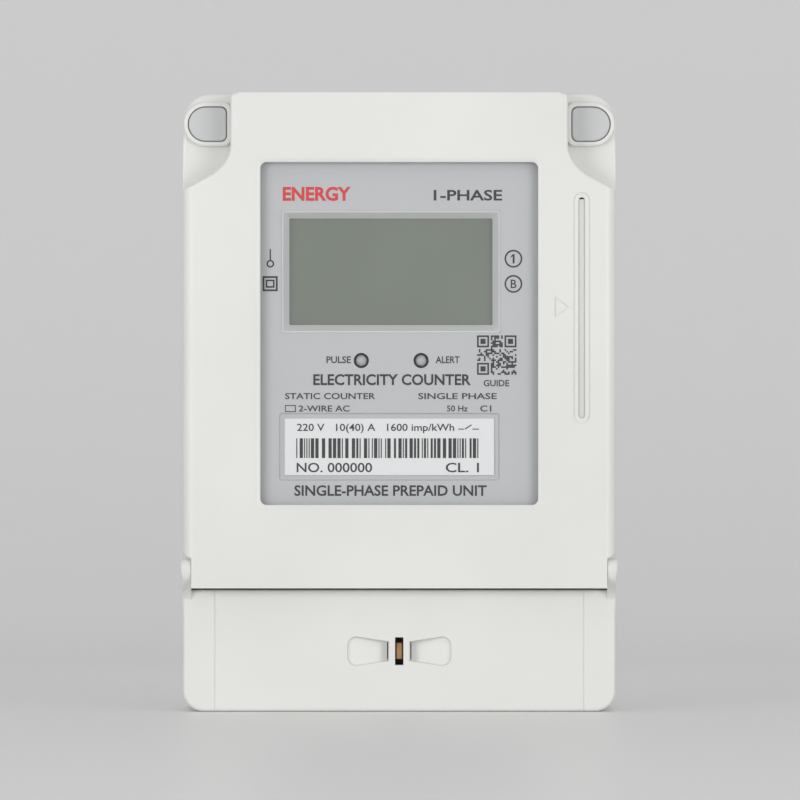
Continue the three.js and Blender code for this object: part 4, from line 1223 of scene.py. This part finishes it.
@dataclass
class Artwork:
    """Everything printed on the plate and the label; all words are generic."""

    ink: float = 0.05
    seed: int = 7
    title: Line = Line("ENERGY", (-30.1, -12.5), (132.0, 135.7), 0.035)
    plate_lines: tuple[Line, ...] = (
        Line("1-PHASE", (8.9, 26.6), (132.1, 134.9), 0.02),
        Line("PULSE", (-18.8, -12.5), (90.1, 91.9)),
        Line("ALERT", (9.4, 15.6), (90.1, 91.9)),
        Line("ELECTRICITY COUNTER", (-22.2, 18.5), (84.4, 87.3), 0.026),
        Line("GUIDE", (21.8, 28.4), (84.1, 85.8)),
        Line("STATIC COUNTER", (-29.5, -6.2), (80.8, 82.4), 0.016),
        Line("SINGLE PHASE", (4.9, 25.2), (80.8, 82.4), 0.016),
        Line("2-WIRE AC", (-26.0, -12.8), (77.6, 79.2), 0.016),
        Line("50 Hz", (12.3, 17.7), (77.6, 79.2), 0.016),
        Line("C1", (20.9, 23.8), (77.6, 79.2), 0.016),
        Line("SINGLE-PHASE PREPAID UNIT", (-27.1, 22.6), (55.8, 58.6), 0.022),
        Line("B", (28.8, 30.3), (109.5, 111.7), 0.01),
    )
    label_lines: tuple[Line, ...] = (
        Line("220 V   10(40) A   1600 imp/kWh", (-26.4, 14.2), (72.0, 74.5), 0.012),
        Line("NO. 000000", (-26.5, -7.0), (61.9, 64.4), 0.012),
        Line("CL. 1", (12.0, 20.6), (61.9, 64.4), 0.012),
    )

    def letters(self, line: Line, depth: float) -> Piece:
        """Sets one line of print as a thin closed mesh.

        Args:
            line: the words and their box.
            depth: depth of the printed face, in millimetres.

        Returns:
            The letters, at the origin.
        """
        clear_selection()
        bpy.ops.object.text_add(rotation=(math.pi / 2, 0, 0))
        text = bpy.context.object
        text.data.body = line.words
        text.data.resolution_u = 3
        text.data.extrude = 0.01
        text.data.offset = line.bold
        bpy.ops.object.convert(target="MESH")
        text = bpy.context.object
        corners = [Vector(c) for c in text.bound_box]
        low = Vector([min(c[i] for c in corners) for i in range(3)])
        high = Vector([max(c[i] for c in corners) for i in range(3)])
        wide, tall = (line.x[1] - line.x[0]) * MM, (line.z[1] - line.z[0]) * MM
        text.scale = (wide / (high.x - low.x), tall / (high.y - low.y), self.ink * MM / (high.z - low.z))
        place = at(line.x[0], depth - 0.01 + self.ink / 2, line.z[0])
        text.location = (place.x - low.x * text.scale.x, place.y, place.z - low.y * text.scale.y)
        return settle(text, "letters")

    def patch(self, x: Point, z: Point, depth: float) -> Piece:
        """Returns one printed rectangle."""
        return brick("patch", x, (depth - 0.01, depth - 0.01 + self.ink), z)

    def ring(self, x: float, z: float, radius: float, line: float, depth: float) -> Piece:
        """Returns one printed circle."""
        middle = depth - 0.01 + self.ink / 2
        outer = rod("ring", at(x, middle, z), radius, self.ink, sides=48)
        return cut(outer, rod("core", at(x, middle, z), radius - line, 1, sides=48))

    def square(self, x: Point, z: Point, line: float, depth: float) -> Piece:
        """Returns one printed hollow square."""
        outer = self.patch(x, z, depth)
        core = brick("core", (x[0] + line, x[1] - line), (depth - 1, depth + 1), (z[0] + line, z[1] - line))
        return cut(outer, core)

    def code_block(self, depth: float) -> list[Piece]:
        """Returns a square block of random cells with three corner marks; it encodes nothing."""
        left, top, cells, size = 20.1, 97.3, 23, 10.2 / 23
        dice = random.Random(self.seed)
        marks = ((0, 0), (cells - 7, 0), (0, cells - 7))
        dark = {(c, r) for r in range(cells) for c in range(cells) if dice.random() < 0.48
                and not any(a - 1 <= c < a + 8 and b - 1 <= r < b + 8 for a, b in marks)}
        pieces = []
        for r in range(cells):
            start = None
            for c in range(cells + 1):
                if (c, r) in dark and start is None:
                    start = c
                elif (c, r) not in dark and start is not None:
                    z = top - r * size
                    pieces.append(self.patch((left + start * size, left + c * size), (z - size * 0.98, z),
                                             depth))
                    start = None
        for c, r in marks:
            x, z = left + c * size, top - r * size
            pieces.append(self.square((x, x + 7 * size), (z - 7 * size, z), size, depth))
            pieces.append(self.patch((x + 2 * size, x + 5 * size), (z - 5 * size, z - 2 * size), depth))
        return pieces

    def bars(self, depth: float) -> list[Piece]:
        """Returns upright bars of random widths; they encode nothing."""
        dice = random.Random(self.seed + 1)
        pieces, x = [], -26.6
        while x < 20.4:
            width = dice.choice((0.28, 0.28, 0.55, 0.85))
            pieces.append(self.patch((x, min(x + width, 20.9)), (65.6, 70.7), depth))
            x += width + dice.choice((0.3, 0.3, 0.6, 0.85))
        return pieces

    def symbols(self, depth: float) -> list[Piece]:
        """Returns the small marks beside the screen and the boxes in the text."""
        return [self.patch((-33.48, -33.12), (116.6, 119.6), depth),
                self.ring(-33.3, 115.8, 1.0, 0.4, depth),
                self.square((-35.3, -31.4), (108.7, 112.6), 0.48, depth),
                self.square((-34.5, -32.2), (109.6, 111.7), 0.42, depth),
                self.ring(29.5, 117.1, 2.3, 0.42, depth), self.ring(29.5, 110.6, 2.3, 0.42, depth),
                self.patch((29.3, 29.8), (115.9, 118.3), depth),
                prism("flag", [(29.42, 117.85), (29.42, 118.3), (28.8, 117.75), (28.8, 117.35)],
                      depth - 0.005,
                      depth - 0.02 + self.ink),
                self.square((-29.5, -26.7), (77.5, 79.3), 0.22, depth)]

    def contact(self, depth: float) -> list[Piece]:
        """Returns the switch mark at the label's right end."""
        blade = [(16.9, 73.2), (18.6, 74.3), (18.75, 74.05), (17.05, 72.95)]
        return [self.patch((15.2, 16.7), (72.95, 73.2), depth),
                self.patch((18.9, 20.6), (72.95, 73.2), depth),
                prism("blade", blade, depth - 0.01, depth - 0.01 + self.ink)]

    def gather(self, name: str, finish: Finish, pieces: Sequence[Piece]) -> None:
        """Joins printed pieces into one object and hands it over."""
        clear_selection()
        for piece in pieces:
            piece.select_set(True)
        bpy.context.view_layer.objects.active = pieces[0]
        bpy.ops.object.join()
        joined = bpy.context.object
        hand_over(joined, name, "meter", finish, "label_white")

    def build(self) -> None:
        """Prints the plate and the label."""
        plate, label = span("nameplate")[3], span("rating_label")[3]
        self.gather("plate_title", RED_INK, [self.letters(self.title, plate)])
        self.gather("plate_print", INK, [self.letters(line, plate) for line in self.plate_lines])
        self.gather("plate_marks", INK, self.symbols(plate) + self.code_block(plate))
        self.gather("label_print", INK, [self.letters(line, label) for line in self.label_lines])
        self.gather("label_bars", INK, self.bars(label) + self.contact(label))


@dataclass
class Studio:
    """The pale seamless set, its soft lights and the camera."""

    distance: float = 3.0
    middle_x: float = 0.2
    middle_z: float = 80.6
    seen_mm: float = 206.4
    paper: str = "EAEAEA"

    def backdrop(self) -> None:
        """Lays a smooth sheet that runs from the floor up behind the meter."""
        floor, start, bend, high, half, thick = BASE - 0.00005, 0.5, 0.6, 2.4, 2.4, 0.01
        turns = [math.radians(5 * i) for i in range(1, 19)]
        far = start + bend
        curve = [(-half, floor), (start, floor)]
        curve += [(start + bend * math.sin(t), floor + bend - bend * math.cos(t)) for t in turns]
        curve += [(far, high), (far + thick, high), (far + thick, floor - thick), (-half, floor - thick)]
        sheet = trace("backdrop", [Vector((-half, y, z)) for y, z in curve], Vector((2 * half, 0, 0)))
        dress(sheet,
              Moulded("paper_sheet", self.paper, self.paper, roughness=0.32, grain_mm=1.5, height_mm=0.004))
        self.clear_behind(sheet.data.materials[0])
        bpy.ops.object.shade_smooth_by_angle(angle=math.radians(20))

    def clear_behind(self, paper: bpy.types.Material) -> None:
        """Lets a camera behind or below the sheet look through it, so the meter can be seen from there.

        Args:
            paper: the sheet's material, changed in place.
        """
        tree = paper.node_tree
        output = next(node for node in tree.nodes if node.type == "OUTPUT_MATERIAL")
        shown = output.inputs["Surface"].links[0].from_socket
        side = add_node(tree, "ShaderNodeNewGeometry", {})
        facing = add_node(tree, "ShaderNodeVectorMath", {"operation": "DOT_PRODUCT"})
        facing.inputs[1].default_value = (0, 1, -1)
        tree.links.new(side.outputs["True Normal"], facing.inputs[0])
        rear = add_node(tree, "ShaderNodeMath", {"operation": "GREATER_THAN"}, {0: facing.outputs["Value"]})
        rear.inputs[1].default_value = 0.2
        either = add_node(tree, "ShaderNodeMath", {"operation": "MAXIMUM"},
                          {0: rear.outputs[0], 1: side.outputs["Backfacing"]})
        clear = add_node(tree, "ShaderNodeBsdfTransparent", {})
        mix = add_node(tree, "ShaderNodeMixShader", {},
                       {0: either.outputs[0], 1: shown, 2: clear.outputs[0]})
        tree.links.new(mix.outputs[0], output.inputs["Surface"])

    def light(self, name: str, place: Place, aim: Place, size: float, power: float) -> None:
        """Adds one soft square light.

        Args:
            name: the light's name.
            place: where it is, in metres.
            aim: the point it faces, in metres.
            size: side of its square, in metres.
            power: in watts.
        """
        turn = (Vector(aim) - Vector(place)).to_track_quat("-Z", "Y").to_euler()
        clear_selection()
        bpy.ops.object.light_add(type="AREA", location=place, rotation=turn)
        lamp = bpy.context.object
        lamp.name = name
        lamp.data.size = size
        lamp.data.energy = power

    def camera(self) -> None:
        """Adds the camera, straight in front of the meter."""
        face = span("front_cover")[3]
        place = at(self.middle_x, face + self.distance / MM, self.middle_z)
        clear_selection()
        bpy.ops.object.camera_add(location=place, rotation=(math.pi / 2, 0, 0))
        made = bpy.context.object
        made.name = "camera"
        made.data.angle = 2 * math.atan(self.seen_mm * MM / 2 / self.distance)
        made.data.clip_end = 20
        bpy.context.scene.camera = made

    def build(self) -> None:
        """Sets up the sheet, lights, surroundings, camera and colour response."""
        self.backdrop()
        self.light("key", (-0.3, -1.5, 1.3), (0, -0.05, 0), 1.2, 0.8)
        self.light("fill_left", (-1.2, -1.95, 0.08), (0, 0, 0), 0.9, 17.6)
        self.light("fill_right", (1.2, -1.95, 0.08), (0, 0, 0), 0.9, 17.6)
        self.camera()
        world = bpy.data.worlds.new("surroundings")
        world.use_nodes = True
        ground = next(n for n in world.node_tree.nodes if n.type == "BACKGROUND")
        ground.inputs["Color"].default_value = (1, 1, 1, 1)
        ground.inputs["Strength"].default_value = 0.56
        bpy.context.scene.world = world
        bpy.context.scene.view_settings.view_transform = "Standard"


FRAME_FINISHES: dict[Finish, tuple[str, ...]] = {
    BLOCK: ("terminal_block", "relay", "card_contact_block"),
    CHIP: ("controller_chip", "metering_chip", "buzzer", "filter_capacitor_1", "filter_capacitor_2"),
    CASE: ("card_holder",),
    LABEL: ("rating_label",),
    BACKLIGHT: ("lcd_backlight",),
    GLASS: ("lcd_glass",),
    WINDOW: ("window_pane",),
    BOARD: ("main_board",),
    BRASS: ("terminal_1", "terminal_2", "terminal_3", "terminal_4", "seal_screw_insert"),
    ZINC: ("seal_screw_ring", "board_screw_1", "board_screw_2", "board_screw_3", "board_screw_4",
           "cover_screw_left", "cover_screw_right", "lower_case_screw_left", "lower_case_screw_right"),
    COPPER: ("shunt", "relay_busbar", "neutral_link"),
    TAPE: ("power_transformer",),
    SLEEVE: ("battery", "varistor"),
}


def fasten() -> None:
    """Models the eight terminal screws."""
    for k in range(1, 9):
        Screw(f"terminal_screw_{k}").build()


def dress_frame() -> None:
    """Gives each carried-over frame node the finish of what it is made of."""
    for finish, nodes in FRAME_FINISHES.items():
        for name in nodes:
            dress(bpy.data.objects[name], finish)
            LOG.info("%s: %s", name, finish.name)


def main() -> None:
    """Builds the meter's looks in order."""
    logging.basicConfig(level=logging.INFO, format="%(name)s: %(message)s")
    FrontCover().build()
    TerminalCover().build()
    RearCase().build()
    for side in (-1, 1):
        CornerCap(side).build()
    DisplayPlate().build()
    Artwork().build()
    SealScrew().build()
    HangingHook().build()
    fasten()
    dress_frame()
    Studio().build()


if __name__ == "__main__":
    main()
